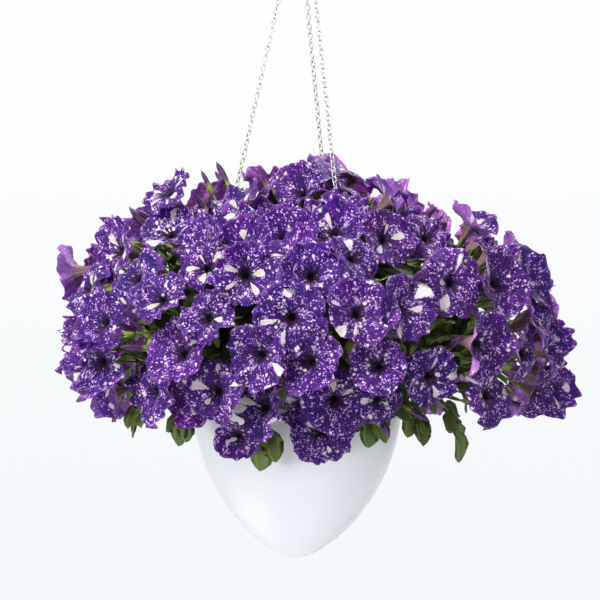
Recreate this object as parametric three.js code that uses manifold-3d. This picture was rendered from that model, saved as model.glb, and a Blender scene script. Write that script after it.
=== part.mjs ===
// A petunia hanging basket: a white pointed pot on three chains, and the mound of speckled violet
// blooms that grows over its rim.
//
// Frame: millimetres, +Z up. The origin is where the hook bears on what it hangs from, and the
// pot's axis runs straight down from it. The basket's front faces -Y. Inside this file heights are
// measured from the pot's rim, and the group at the end is lowered to the origin.
import * as THREE from "three";
import { mergeVertices } from "three/addons/utils/BufferGeometryUtils.js";
import Module from "manifold-3d";

const wasm = await Module();
wasm.setup();

// ---- driving dimensions -------------------------------------------------------------------
const GAP = 0.35; // clearance between pieces that touch

// pot
const POT_RADIUS = 121;
const POT_DEPTH = 190;
const POT_POINT = 1.32; // how fast the wall draws in towards the tip
const POT_WALL = 2.8;
const TIP_RADIUS = 9;
const DRAIN_RADIUS = 3;
const LIP_OUT = 2.4;
const LIP_HEIGHT = 5;
const POT_SIDES = 22;
const SOIL_TOP = -16;
const EAR = { halfWidth: 7, height: 11.5, holeHeight: 5, holeRadius: 2.6 };

// chains: each hangs from the eye at the hook's foot and holds one ear of the rim
const CHAINS = [
  { name: "chain_front", turn: 33, eyeTurn: 42 },
  { name: "chain_rear", turn: 153, eyeTurn: 0 },
  { name: "chain_left", turn: -87, eyeTurn: -42 },
];
const LINK_PITCH = 10.9; // two links of the real chain, drawn as one
const LINK_HALF_WIDTH = 2.6;
const LINK_HALF_WIRE = 0.9;
const RING_WIRE = 0.9;
const FOOT_RING = 4.5;
const FOOT_RING_HEIGHT = EAR.holeHeight + EAR.holeRadius - RING_WIRE + FOOT_RING - 0.6;
const TOP_RING = 3.8;

// hook: one bent wire, closed into an eye below and open above
const HOOK_WIRE = 1.9;
const EYE_HEIGHT = 536;
const EYE_BEND = 9;
const CROOK_HEIGHT = 571; // centre of the crook
const CROOK_BEND = 13;
const BEARING_HEIGHT = CROOK_HEIGHT + CROOK_BEND - HOOK_WIRE;

// mound: the surface on which the blooms open
const MOUND = { across: 272, deep: 256, middle: 78, up: 184, down: 106, shift: 8 };
const LOWEST_RISE = -44; // degrees, where the skirt of blooms ends
const BULGES = [
  { turn: -88, rise: 20, out: -0.01, spread: 26 },
  { turn: 84, rise: -14, out: 0.06, spread: 34 },
  { turn: 10, rise: -30, out: -0.1, spread: 40 },
  { turn: 180, rise: -30, out: -0.06, spread: 40 },
  { turn: 20, rise: 78, out: 0.03, spread: 20 },
  { turn: 90, rise: 50, out: -0.17, spread: 18 },
  { turn: 45, rise: 50, out: -0.1, spread: 18 },
  { turn: 135, rise: 50, out: -0.1, spread: 18 },
  { turn: -90, rise: 60, out: -0.09, spread: 24 },
  { turn: -45, rise: -40, out: -0.14, spread: 26 },
  { turn: -14, rise: 58, out: -0.27, spread: 27 },
  { turn: 150, rise: 70, out: 0.04, spread: 24 },
];

// blooms
const BLOOM_COUNT = 128; // places that the spiral tries over the whole mound
const BLOOM_SPACING = 46;
const CHAIN_ROOM = 16; // least distance from a bloom's place to a chain
const BLOOM_SIZES = { least: 0.78, spread: 0.3 };
const NUDGES = [[0, 0], [1, 0], [-1, 0], [0, 1], [0, -1]]; // ways off a place that is taken
const BLOOM_RADIUS = 37;
const BLOOM_LENGTH = 43;
const THROAT_DEPTH = 10;
const NECK_RADIUS = 8;
const BASE_RADIUS = 3;
const STALK_SINK = 1.5; // how far past the fork's point a stalk's end is sunk
const LOBES = 5;
const NOTCH = 0.82; // the notches' radius to the lobes'
const BLADE_THICKNESS = 0.9; // of petals and leaves
const BLOOM_SHIFTS = [0, -9, 8, -17]; // how far out of the mound a bloom may stand
const BLOOM_LEANS = [0, -0.24, 0.24]; // and lean, up and round, to be clear of its neighbours
const SPRAY_COUNT = 46;
const SPRAY_START = 0.96; // the first spray's turn from the front, in radians
// The blooms that show best from the front: how far across and up each one sits.
const SHOWN = [
  [-48, 246], [-91, 228], [5, 244], [-22, 213], [108, 199], [-104, 162], [-58, 150], [16, 152],
  [62, 174], [-97, 104], [66, 112], [114, 114], [-43, 62], [12, 58], [88, 52], [-8, 104],
  [-212, 170], [-159, 203], [-148, 122], [-128, 66], [-222, 45], [-216, 92], [-238, 128],
  [168, 140], [218, 138], [199, 72], [148, 38], [-184, 8], [-97, 18], [-46, -4], [6, -18],
  [96, 8], [212, 16], [160, 200], [245, 60], [44, 8],
];
const SHOWN_TURN = 0.72; // how far round those blooms face, as a share of their own turn
const FACING_PLAY = { turn: 0.72, rise: 0.6 }; // how widely the blooms' facings vary, in radians
// Where leaves show through in front instead of blooms: across, up and radius.
const LEAFY = [[-174, 44, 40], [-30, 26, 30], [134, 156, 20], [150, 66, 26]];
// Blooms that stand clear of the mound, with their own facing in degrees and size.
const STRAYS = [
  { turn: -88, rise: 18, out: 14, faceTurn: -96, faceRise: -12, size: 0.9 },
  { turn: -64, rise: 53, out: 46, faceTurn: -50, faceRise: 40, size: 0.85 },
  { turn: 66, rise: 42, out: 26, faceTurn: 62, faceRise: 60, size: 0.8 },
  { turn: 96, rise: 26, out: 14, faceTurn: 120, faceRise: 26, size: 0.92 },
  { turn: 86, rise: -22, out: 14, faceTurn: 46, faceRise: -22, size: 0.9 },
  { turn: -22, rise: -60, out: 26, faceTurn: -16, faceRise: -20, size: 0.66 },
  { turn: -148, rise: 30, out: 24, faceTurn: -150, faceRise: 4, size: 0.88 },
  { turn: 176, rise: 6, out: 20, faceTurn: 160, faceRise: -10, size: 0.85 },
  { turn: 6, rise: -62, out: 14, faceTurn: 4, faceRise: -14, size: 0.96 },
];

// greenery
const CORE_SCALE = 0.68;
const CORE_FLOOR = 3;
const CORE_SIDES = 16;
const FORK_RADIUS = 4;
const STEM_RADIUS = 4.5;
const STEM_RING = 55;
const STEM_DEPTH = 24;
const CHANNEL_RADIUS = 4.2; // the way that is left clear for a chain
// Shoots that hang over the rim: turn in degrees, reach, and how high the tip ends.
const SHOOTS = [
  [-13, 136, -30], [33, 136, -14], [56, 152, -14], [70, 184, -30], [100, 176, -34],
  [130, 182, -30], [160, 170, -36], [-168, 178, -30], [-135, 172, -34], [-102, 180, -28],
  [-62, 190, 4], [-44, 168, -14],
];
const SHOOT_FANS = [[1.1, -0.35], [-1.1, -0.6], [0.45, -0.8], [-0.3, -1]]; // round and up
const SHOOT_ROOT = [116, 22]; // radius and height where a shoot leaves the mound's core
const SHOOT_KNEE = 8; // the height at which it turns down
const SHOOT_RADIUS = 2;
const SHOOT_LEAF = { first: 0.58, span: 0.38, length: 34, spread: 12, room: 9 };
const INNER_LEAF = { length: 58, spread: 16, room: 11 };
const TUBE_ROOM = 5; // extra room that a leaf leaves beside a bloom's tube
const INNER_LEAVES = 46; // tried; those that would strike a bloom are left out


// ---- shared helpers -----------------------------------------------------------------------
const TURN = 2 * Math.PI;
const GOLDEN_ANGLE = Math.PI * (3 - Math.sqrt(5));
const radians = THREE.MathUtils.degToRad;
const vec = (x, y, z) => new THREE.Vector3(x, y, z);

/** A repeatable draw of numbers from 0 to 1. */
function drawer(seed) {
  let state = seed;
  return () => {
    state = (state * 16807) % 2147483647;
    return state / 2147483647;
  };
}

/** The unit direction at a turn from the front (-Y) towards +X and a rise above level. */
function bearing(turn, rise) {
  return vec(Math.sin(turn) * Math.cos(rise), -Math.cos(turn) * Math.cos(rise), Math.sin(rise));
}

/** The direction across a facing and level with the ground, and the direction up its face. */
function faceAxes(axis) {
  const side = vec(0, 0, 1).cross(axis).normalize();
  return { side, up: axis.clone().cross(side) };
}

/** A solid from points and index triples. */
function solidFrom(points, faces) {
  const vertProperties = new Float32Array(points.flatMap((p) => [p.x, p.y, p.z]));
  return new wasm.Manifold(
    new wasm.Mesh({ numProp: 3, vertProperties, triVerts: new Uint32Array(faces.flat()) }),
  );
}

/** A closed three.js geometry as a solid that can be joined and cut. */
function solidOf(geometry) {
  const bare = geometry.clone();
  bare.deleteAttribute("normal");
  bare.deleteAttribute("uv");
  const merged = mergeVertices(bare, 1e-4);
  const corners = Array.from(merged.index.array);
  const faces = [];
  for (let i = 0; i < corners.length; i += 3) {
    const [a, b, c] = corners.slice(i, i + 3);
    if (a !== b && b !== c && c !== a) faces.push([a, b, c]);
  }
  const vertProperties = merged.attributes.position.array;
  return new wasm.Manifold(
    new wasm.Mesh({ numProp: 3, vertProperties, triVerts: new Uint32Array(faces.flat()) }),
  );
}

/** Every solid in a list joined into one. */
function joined(solids) {
  return solids.reduce((a, b) => a.add(b));
}

/** The largest connected piece of a solid. */
function mainBody(solid) {
  return solid.decompose().reduce((a, b) => (b.volume() > a.volume() ? b : a));
}

/** A named mesh of a solid. */
function meshOf(name, solid, material) {
  const { numProp, vertProperties, triVerts } = mainBody(solid).getMesh();
  const count = vertProperties.length / numProp;
  const places = new Float32Array(count * 3);
  for (let i = 0; i < count; i++) {
    places.set(vertProperties.subarray(i * numProp, i * numProp + 3), i * 3);
  }
  const geometry = new THREE.BufferGeometry()
    .setAttribute("position", new THREE.BufferAttribute(places, 3))
    .setIndex(new THREE.BufferAttribute(new Uint32Array(triVerts), 1));
  const mesh = new THREE.Mesh(geometry, material);
  mesh.name = name;
  return mesh;
}

/** A tapered rod between two points. */
function rod(from, to, radiusFrom, radiusTo, sides) {
  const axis = to.clone().sub(from).normalize();
  const { side, up } = faceAxes(axis);
  const ring = (centre, radius) =>
    Array.from({ length: sides }, (_, k) =>
      centre
        .clone()
        .addScaledVector(side, radius * Math.cos((TURN * k) / sides))
        .addScaledVector(up, radius * Math.sin((TURN * k) / sides)),
    );
  const points = [...ring(from, radiusFrom), ...ring(to, radiusTo)];
  const faces = [];
  for (let k = 0; k < sides; k++) {
    const next = (k + 1) % sides;
    faces.push([k, next, next + sides], [k, next + sides, k + sides]);
  }
  for (let k = 1; k < sides - 1; k++) {
    faces.push([0, k + 1, k], [sides, sides + k, sides + k + 1]);
  }
  return solidFrom(points, faces);
}

/** A wire of round section along a curve. */
function wire(curve, radius, steps, sides) {
  const section = new THREE.Shape(
    Array.from({ length: sides }, (_, k) => {
      const angle = (TURN * k) / sides;
      return new THREE.Vector2(radius * Math.cos(angle), radius * Math.sin(angle));
    }),
  );
  return solidOf(new THREE.ExtrudeGeometry(section, { steps, extrudePath: curve }));
}

// ---- materials ----------------------------------------------------------------------------
const finish = (color, roughness, metalness = 0) =>
  new THREE.MeshStandardMaterial({ color, roughness, metalness });
const white = finish(0xf3f4f6, 0.18);
const peat = finish(0x2f2118, 0.95);
const steel = finish(0xb9bab8, 0.35, 1);
const green = finish(0x3f5c22, 0.7);
const violet = finish(0x51258c, 0.6);

// ---- pot and soil -------------------------------------------------------------------------
/** The pot's wall line, from the rim down to where it has drawn in to the least radius. */
function wallLine(radius, depth, leastRadius, steps) {
  const end = Math.acos((leastRadius / radius) ** (1 / POT_POINT));
  return Array.from({ length: steps + 1 }, (_, k) => {
    const angle = (end * k) / steps;
    return new THREE.Vector2(radius * Math.cos(angle) ** POT_POINT, -depth * Math.sin(angle));
  });
}

/** The upright tab on the rim that a chain's foot ring goes through. */
function makeEar(turn) {
  const outline = new THREE.Shape();
  outline.moveTo(-EAR.halfWidth, -2);
  outline.lineTo(EAR.halfWidth, -2);
  outline.lineTo(EAR.halfWidth, EAR.height - EAR.halfWidth);
  outline.absarc(0, EAR.height - EAR.halfWidth, EAR.halfWidth, 0, Math.PI);
  const hole = new THREE.Path().absarc(0, EAR.holeHeight, EAR.holeRadius, 0, TURN, true);
  outline.holes.push(hole);
  const depth = POT_WALL - 0.4;
  const tab = new THREE.ExtrudeGeometry(outline, { depth, bevelEnabled: false, curveSegments: 4 })
    .translate(0, 0, -depth / 2)
    .rotateX(Math.PI / 2)
    .translate(0, -(POT_RADIUS - POT_WALL / 2), 0)
    .rotateZ(turn);
  return solidOf(tab);
}

function makePot() {
  const outside = wallLine(POT_RADIUS, POT_DEPTH, TIP_RADIUS, 7).slice(1).reverse();
  const inside = wallLine(POT_RADIUS - POT_WALL, POT_DEPTH - POT_WALL, TIP_RADIUS - 2, 5);
  const profile = [
    new THREE.Vector2(DRAIN_RADIUS, outside[0].y),
    ...outside,
    new THREE.Vector2(POT_RADIUS, -LIP_HEIGHT - 1),
    new THREE.Vector2(POT_RADIUS + LIP_OUT, -LIP_HEIGHT),
    new THREE.Vector2(POT_RADIUS + LIP_OUT, 0),
    ...inside,
    new THREE.Vector2(DRAIN_RADIUS, inside.at(-1).y),
    new THREE.Vector2(DRAIN_RADIUS, outside[0].y),
  ];
  const bowl = new THREE.LatheGeometry(profile, POT_SIDES).rotateX(Math.PI / 2);
  return joined([solidOf(bowl), ...CHAINS.map(({ turn }) => makeEar(radians(turn)))]);
}

/** The turn of planting hole k, midway between two chains. */
const plantTurn = (k) => radians(CHAINS[k].turn + 60);

function makeSoil() {
  const wall = wallLine(POT_RADIUS - POT_WALL - GAP, POT_DEPTH - POT_WALL - 6, TIP_RADIUS, 5);
  const side = wall.filter(({ y }) => y < SOIL_TOP - 2).reverse();
  const profile = [
    new THREE.Vector2(0, side[0].y),
    ...side,
    new THREE.Vector2(side.at(-1).x, SOIL_TOP - 2),
    new THREE.Vector2(side.at(-1).x * 0.6, SOIL_TOP),
    new THREE.Vector2(0, SOIL_TOP + 2),
  ];
  const bed = solidOf(new THREE.LatheGeometry(profile, POT_SIDES).rotateX(Math.PI / 2));
  return CHAINS.reduce((soil, _, k) => {
    const at = bearing(plantTurn(k), 0).multiplyScalar(STEM_RING);
    const hole = rod(
      at.clone().setZ(SOIL_TOP - STEM_DEPTH),
      at.clone().setZ(SOIL_TOP + STEM_DEPTH),
      STEM_RADIUS + 0.8,
      STEM_RADIUS + 0.8,
      8,
    );
    return soil.subtract(hole);
  }, bed);
}

// ---- hook and chains ----------------------------------------------------------------------
/** The point of the eye's wire line at an angle from straight down. */
function eyePoint(angle, radius) {
  return vec(radius * Math.sin(angle), 0, EYE_HEIGHT - radius * Math.cos(angle));
}

function makeHook() {
  const points = [];
  for (let a = -157; a <= 157; a += 31.4) points.push(eyePoint(radians(a), EYE_BEND));
  points.push(vec(0, 0, EYE_HEIGHT + EYE_BEND + 4));
  for (let a = 242; a >= -34; a -= 23) {
    const [across, rise] = [Math.cos(radians(a)), Math.sin(radians(a))];
    points.push(vec(CROOK_BEND * across, 0, CROOK_HEIGHT + CROOK_BEND * rise));
  }
  return wire(new THREE.CatmullRomCurve3(points), HOOK_WIRE, 34, 5);
}

/** Where a chain starts and ends, between its foot ring and its top ring. */
function chainEnds({ turn, eyeTurn }) {
  const foot = bearing(radians(turn), 0).multiplyScalar(POT_RADIUS - POT_WALL / 2);
  const drop = TOP_RING - RING_WIRE - HOOK_WIRE - GAP;
  return {
    foot: foot.setZ(FOOT_RING_HEIGHT + FOOT_RING),
    head: eyePoint(radians(eyeTurn), EYE_BEND + drop + TOP_RING),
    drop,
  };
}

/** The ring through an ear, in the upright plane that runs out from the pot's axis. */
function footRing({ turn }) {
  const ring = new THREE.TorusGeometry(FOOT_RING, RING_WIRE, 4, 12)
    .rotateX(Math.PI / 2)
    .rotateZ(Math.PI / 2)
    .translate(0, -(POT_RADIUS - POT_WALL / 2), FOOT_RING_HEIGHT)
    .rotateZ(radians(turn));
  return solidOf(ring);
}

/** The ring that hangs in the hook's eye, at right angles to the eye's wire. */
function topRing(chain) {
  const centre = eyePoint(radians(chain.eyeTurn), EYE_BEND + chainEnds(chain).drop);
  const ring = new THREE.TorusGeometry(TOP_RING, RING_WIRE, 4, 8)
    .rotateY(Math.PI / 2)
    .rotateY(-radians(chain.eyeTurn))
    .translate(centre.x, centre.y, centre.z);
  return solidOf(ring);
}

/** The run of links: rhombs end to end, each at right angles to the last. */
function linkRun(chain) {
  const { foot, head } = chainEnds(chain);
  const line = new THREE.LineCurve3(foot, head);
  const { side, up } = faceAxes(line.getTangent(0));
  const links = Math.round(line.getLength() / LINK_PITCH);
  const points = [];
  const faces = [];
  for (let i = 0; i <= links; i++) {
    const [sideways, upwards] =
      i % 2 === 0 ? [LINK_HALF_WIDTH, LINK_HALF_WIRE] : [LINK_HALF_WIRE, LINK_HALF_WIDTH];
    for (const [a, b] of [[1, 0], [0, 1], [-1, 0], [0, -1]]) {
      const corner = line.getPoint(i / links).addScaledVector(side, a * sideways);
      points.push(corner.addScaledVector(up, b * upwards));
    }
  }
  for (let i = 0; i < 4 * links; i += 4) {
    for (let s = 0; s < 4; s++) {
      const [a, b] = [i + s, i + ((s + 1) % 4)];
      faces.push([a, b, b + 4], [a, b + 4, a + 4]);
    }
  }
  const last = 4 * links;
  faces.push([0, 2, 1], [0, 3, 2], [last, last + 1, last + 2], [last, last + 2, last + 3]);
  return solidFrom(points, faces);
}

function makeChain(chain) {
  return joined([linkRun(chain), footRing(chain), topRing(chain)]);
}

/** The space that the plants leave clear for a chain and its ear. */
function chainWay(chain) {
  const { foot, head } = chainEnds(chain);
  const base = foot.clone().setZ(-LIP_HEIGHT);
  return joined([
    rod(foot, head, CHANNEL_RADIUS, CHANNEL_RADIUS, 5),
    rod(base, foot.clone().setZ(foot.z + 3), EAR.halfWidth + 4, EAR.halfWidth + 2, 6),
  ]);
}

// ---- the mound and where things stand on it -----------------------------------------------
/** How far the mound bulges at a bearing, as a factor. */
function bulge(turn, rise) {
  const here = bearing(turn, rise);
  return BULGES.reduce((factor, b) => {
    const away = here.angleTo(bearing(radians(b.turn), radians(b.rise))) / radians(b.spread);
    return factor + b.out * Math.exp(-away * away);
  }, 1);
}

/** The mound's point at a turn and rise: an ellipsoid above, squarer below. */
function moundPoint(turn, rise, scale = 1) {
  const below = rise < 0;
  const reach = below ? Math.sqrt(Math.cos(rise)) : Math.cos(rise);
  const height = below ? -MOUND.down * Math.sqrt(-Math.sin(rise)) : MOUND.up * Math.sin(rise);
  const factor = scale * bulge(turn, rise);
  return vec(
    factor * MOUND.across * reach * Math.sin(turn) + MOUND.shift,
    -factor * MOUND.deep * reach * Math.cos(turn),
    MOUND.middle + factor * height,
  );
}

/** The turn and rise of the front point of the mound that lies this far across and up. */
function frontBearing([across, height]) {
  const lift = (height - MOUND.middle) / (height > MOUND.middle ? MOUND.up : MOUND.down);
  const rise = height > MOUND.middle ? Math.asin(lift) : -Math.asin(lift * lift);
  const reach = MOUND.across * (rise < 0 ? Math.sqrt(Math.cos(rise)) : Math.cos(rise));
  const sine = THREE.MathUtils.clamp((across - MOUND.shift) / reach, -1, 1);
  return { turn: Math.asin(sine), rise };
}

/** Rises that split the mound, from its lowest bloom to its top, into shares of equal area. */
function evenRises(count) {
  const steps = 120;
  const lowest = radians(LOWEST_RISE);
  const riseAt = (i) => lowest + ((Math.PI / 2 - lowest) * i) / steps;
  const areas = [0];
  for (let i = 0; i < steps; i++) {
    const [a, b] = [moundPoint(0, riseAt(i)), moundPoint(0, riseAt(i + 1))];
    areas.push(areas[i] - a.distanceTo(b) * (a.y + b.y));
  }
  return Array.from({ length: count }, (_, k) => {
    const target = (areas[steps] * (k + 0.5)) / count;
    const i = areas.findIndex((area) => area > target) - 1;
    return riseAt(i + (target - areas[i]) / (areas[i + 1] - areas[i]));
  });
}

/** Whether a point lies within a distance of any chain's line. */
function nearChain(point, distance) {
  return CHAINS.some((chain) => {
    const { foot, head } = chainEnds(chain);
    return new THREE.Line3(foot, head)
      .closestPointToPoint(point, true, vec(0, 0, 0))
      .distanceTo(point) < distance;
  });
}

/** Whether a point lies in front where leaves show through. */
function isLeafy({ x, y, z }) {
  return y < 0 && LEAFY.some(([across, up, radius]) => Math.hypot(x - across, z - up) < radius);
}

/** Turn and rise of every bloom on the mound: those that show best, then a spiral between them. */
function bloomBearings() {
  const draw = drawer(4127);
  const taken = SHOWN.map(frontBearing);
  const points = taken.map(({ turn, rise }) => moundPoint(turn, rise));
  evenRises(BLOOM_COUNT).forEach((evenRise, k) => {
    const jitter = [0.12 * (draw() - 0.5), 0.1 * (draw() - 0.5)];
    for (const [round, upwards] of NUDGES) {
      const turn = k * GOLDEN_ANGLE + jitter[0] + (0.07 * round) / Math.max(0.2, Math.cos(evenRise));
      const rise = Math.min(evenRise + jitter[1] + 0.09 * upwards, 1.5);
      const point = moundPoint(turn, rise);
      const crowded = points.some((other) => other.distanceTo(point) < BLOOM_SPACING);
      if (crowded || nearChain(point, CHAIN_ROOM) || isLeafy(point)) continue;
      taken.push({ turn, rise });
      points.push(point);
      break;
    }
  });
  return taken;
}

/** Points on a bloom's edge, tips and notches in turn, from its own face and size. */
function edgePoints({ centre, axis, spin, size }) {
  const { side, up } = faceAxes(axis);
  return Array.from({ length: 2 * LOBES }, (_, k) => {
    const angle = spin + (Math.PI * k) / LOBES;
    const radius = (k % 2 === 0 ? 1 : NOTCH) * BLOOM_RADIUS * size;
    return centre
      .clone()
      .addScaledVector(side, radius * Math.cos(angle))
      .addScaledVector(up, radius * Math.sin(angle));
  });
}

/** How badly one bloom's edge or tube goes through another bloom's face or tube. */
function piercing(one, other) {
  const heights = { front: 0, behind: 0, tube: 0 };
  for (const point of one.edge) {
    const away = point.clone().sub(other.centre);
    const height = away.dot(other.axis);
    const out = Math.sqrt(Math.max(0, away.lengthSq() - height * height));
    if (out > BLOOM_RADIUS * other.size) continue;
    if (height > 0) heights.front += 1;
    else heights.behind += 1;
    if (height < 0 && height > -BLOOM_LENGTH && out < 11) heights.tube += 1;
  }
  const start = one.centre.clone().sub(other.centre);
  const end = start.clone().addScaledVector(one.axis, -BLOOM_LENGTH * one.size);
  const [from, to] = [start.dot(other.axis), end.dot(other.axis)];
  if (from * to < 0) {
    const crossing = start.lerp(end, from / (from - to));
    if (crossing.length() < BLOOM_RADIUS * other.size) heights.tube += 4;
  }
  return Math.min(heights.front, heights.behind) + heights.tube;
}

/** A bloom on the mound at a turn and rise, facing and standing as given. */
function settleBloom(place, shift, leanUp, leanRound) {
  const { turn, rise, faceTurn, faceRise, ground } = place;
  const bloom = {
    ...place,
    centre: ground.clone().addScaledVector(bearing(turn, 0.8 * rise), shift),
    axis: bearing(faceTurn + leanRound, faceRise + leanUp),
  };
  return { ...bloom, edge: edgePoints(bloom) };
}

/** The way for a bloom to stand and lean that goes least through those already placed. */
function clearestBloom(place, placed) {
  const near = placed.filter((other) => other.centre.distanceTo(place.ground) < 88);
  let best = { cost: Infinity };
  for (const [s, shift] of BLOOM_SHIFTS.entries()) {
    for (const leanUp of BLOOM_LEANS) {
      for (const leanRound of BLOOM_LEANS) {
        const bloom = settleBloom(place, shift, leanUp, leanRound);
        const effort = 0.15 * (s + Math.abs(leanUp) + Math.abs(leanRound));
        const cost = near.reduce(
          (sum, other) => sum + piercing(bloom, other) + piercing(other, bloom),
          effort,
        );
        if (cost < best.cost) best = { bloom, cost };
      }
    }
  }
  return best.bloom;
}

/** Every bloom: the middle of its face, the way it faces, its spin and its size. */
function placeBlooms() {
  const draw = drawer(90547);
  const placed = [];
  for (const stray of STRAYS) {
    const [turn, rise] = [radians(stray.turn), radians(stray.rise)];
    const ground = moundPoint(turn, rise);
    const [faceTurn, faceRise] = [radians(stray.faceTurn), radians(stray.faceRise)];
    const place = { turn, rise, faceTurn, faceRise, ground, spin: TURN * draw(), size: stray.size };
    placed.push(settleBloom(place, stray.out, 0, 0));
  }
  bloomBearings().forEach(({ turn, rise }, k) => {
    const ground = moundPoint(turn, rise);
    const faceTurn = turn * (k < SHOWN.length ? SHOWN_TURN : 1) + FACING_PLAY.turn * (draw() - 0.5);
    const faceRise = 0.62 * rise + 0.14 + FACING_PLAY.rise * (draw() - 0.5);
    const [spin, size] = [TURN * draw(), BLOOM_SIZES.least + BLOOM_SIZES.spread * draw()];
    placed.push(clearestBloom({ turn, rise, faceTurn, faceRise, ground, spin, size }, placed));
  });
  return placed;
}

/** Blooms gathered into sprays, each about the nearest of a spiral of joints below the mound. */
function gatherSprays(blooms) {
  const joints = evenRises(SPRAY_COUNT).map((rise, k) => ({
    ground: moundPoint(k * GOLDEN_ANGLE + SPRAY_START, rise),
    root: moundPoint(k * GOLDEN_ANGLE + SPRAY_START, rise, CORE_SCALE - 0.06),
    fork: moundPoint(k * GOLDEN_ANGLE + SPRAY_START, rise, CORE_SCALE + 0.06),
    blooms: [],
  }));
  for (const bloom of blooms) {
    const nearest = joints.reduce((a, b) =>
      b.ground.distanceTo(bloom.ground) < a.ground.distanceTo(bloom.ground) ? b : a,
    );
    nearest.blooms.push(bloom);
  }
  return joints.filter((joint) => joint.blooms.length > 0);
}

// ---- blooms and sprays --------------------------------------------------------------------
/** A band of triangles between two rings of points, the first below or inside the second. */
function band(inner, innerCount, outer, outerCount) {
  const faces = [];
  let [i, o] = [0, 0];
  while (i < innerCount || o < outerCount) {
    const [a, b] = [inner + (i % innerCount), outer + (o % outerCount)];
    if ((o + 0.5) * innerCount < (i + 0.5) * outerCount && o < outerCount) {
      faces.push([a, b, outer + ((o + 1) % outerCount)]);
      o += 1;
    } else {
      faces.push([a, b, inner + ((i + 1) % innerCount)]);
      i += 1;
    }
  }
  return faces;
}

/**
 * A bloom: five lobes, waved back at their tips, that dip to a throat, and behind them the tube
 * that tapers into the stalk from the spray's fork.
 */
function makeBloom({ centre, axis, spin, size, fork }, grow = 0) {
  const { side, up } = faceAxes(axis);
  const at = (radius, angle, height) =>
    centre
      .clone()
      .addScaledVector(side, radius * Math.cos(angle))
      .addScaledVector(up, radius * Math.sin(angle))
      .addScaledVector(axis, height);
  const ring = (count, radius, height) =>
    Array.from({ length: count }, (_, k) => at(radius, spin + (TURN * k) / count, height));
  const outline = (height) =>
    Array.from({ length: 2 * LOBES }, (_, k) => {
      const tip = k % 2 === 0;
      const radius = (tip ? BLOOM_RADIUS : NOTCH * BLOOM_RADIUS) * size + grow;
      return at(radius, spin + (Math.PI * k) / LOBES, (tip ? -2.5 : 1.5) + height);
    });
  const tubeEnd = at(0, 0, -BLOOM_LENGTH * size);
  const stalkEnd = fork.clone().sub(tubeEnd).setLength(STALK_SINK).add(fork);
  // The tube's end ring halves the bend from the tube into the stalk.
  const onward = stalkEnd.clone().sub(tubeEnd).normalize();
  const bend = new THREE.Quaternion().setFromUnitVectors(axis, axis.clone().sub(onward).normalize());
  const base = ring(3, BASE_RADIUS + grow, -BLOOM_LENGTH * size).map((point) =>
    point.sub(tubeEnd).applyQuaternion(bend).add(tubeEnd),
  );
  const points = [
    ...outline(grow),
    ...outline(-BLADE_THICKNESS - grow),
    ...ring(LOBES, NECK_RADIUS * size + grow, -THROAT_DEPTH - 3 - grow),
    ...base,
    stalkEnd,
    at(0, 0, grow - THROAT_DEPTH),
  ];
  const [front, back, neck, foot, end, throat] = [0, 10, 20, 25, 28, 29];
  const faces = [
    ...band(back, 2 * LOBES, front, 2 * LOBES),
    ...band(neck, LOBES, back, 2 * LOBES),
    ...band(foot, 3, neck, LOBES),
    [end, foot, foot + 1],
    [end, foot + 1, foot + 2],
    [end, foot + 2, foot],
  ].map(([a, b, c]) => [a, c, b]);
  for (let k = 0; k < 2 * LOBES; k++) faces.push([throat, front + k, front + ((k + 1) % (2 * LOBES))]);
  return solidFrom(points, faces);
}

/** The spray's own stem, from inside the core to the fork where its stalks part. */
function makeFork({ root, fork }, grow = 0) {
  const past = fork.clone().sub(root).normalize().multiplyScalar(4).add(fork);
  return rod(root, past, FORK_RADIUS + grow, FORK_RADIUS + grow, 3);
}

/** A whole spray as one solid. */
function makeSpray(spray, grow = 0) {
  const blooms = spray.blooms.map((bloom) => makeBloom({ ...bloom, fork: spray.fork }, grow));
  return joined([...blooms, makeFork(spray, grow)]);
}

// ---- greenery -----------------------------------------------------------------------------
/** The dense middle of the plants, drawn in under the mound and flat where it clears the rim. */
function makeCore(grow = 0) {
  const rings = [-0.66, -0.1, 0.36, 0.72, 1.02, 1.32];
  const points = rings.flatMap((rise) =>
    Array.from({ length: CORE_SIDES }, (_, k) => {
      const point = moundPoint((TURN * k) / CORE_SIDES, rise, CORE_SCALE);
      const out = bearing((TURN * k) / CORE_SIDES, rise).multiplyScalar(grow);
      return point.add(out).setZ(Math.max(point.z, CORE_FLOOR - grow));
    }),
  );
  const top = points.length;
  points.push(moundPoint(0, Math.PI / 2, CORE_SCALE).add(vec(0, 0, grow)));
  points.push(vec(MOUND.shift, 0, CORE_FLOOR - grow));
  const faces = [];
  for (let k = 0; k < CORE_SIDES; k++) {
    const next = (k + 1) % CORE_SIDES;
    for (let r = 0; r < rings.length - 1; r++) {
      const [a, b] = [r * CORE_SIDES + k, r * CORE_SIDES + next];
      faces.push([a, b, b + CORE_SIDES], [a, b + CORE_SIDES, a + CORE_SIDES]);
    }
    const last = (rings.length - 1) * CORE_SIDES;
    faces.push([last + k, last + next, top], [k, top + 1, next]);
  }
  return solidFrom(points, faces);
}

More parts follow.
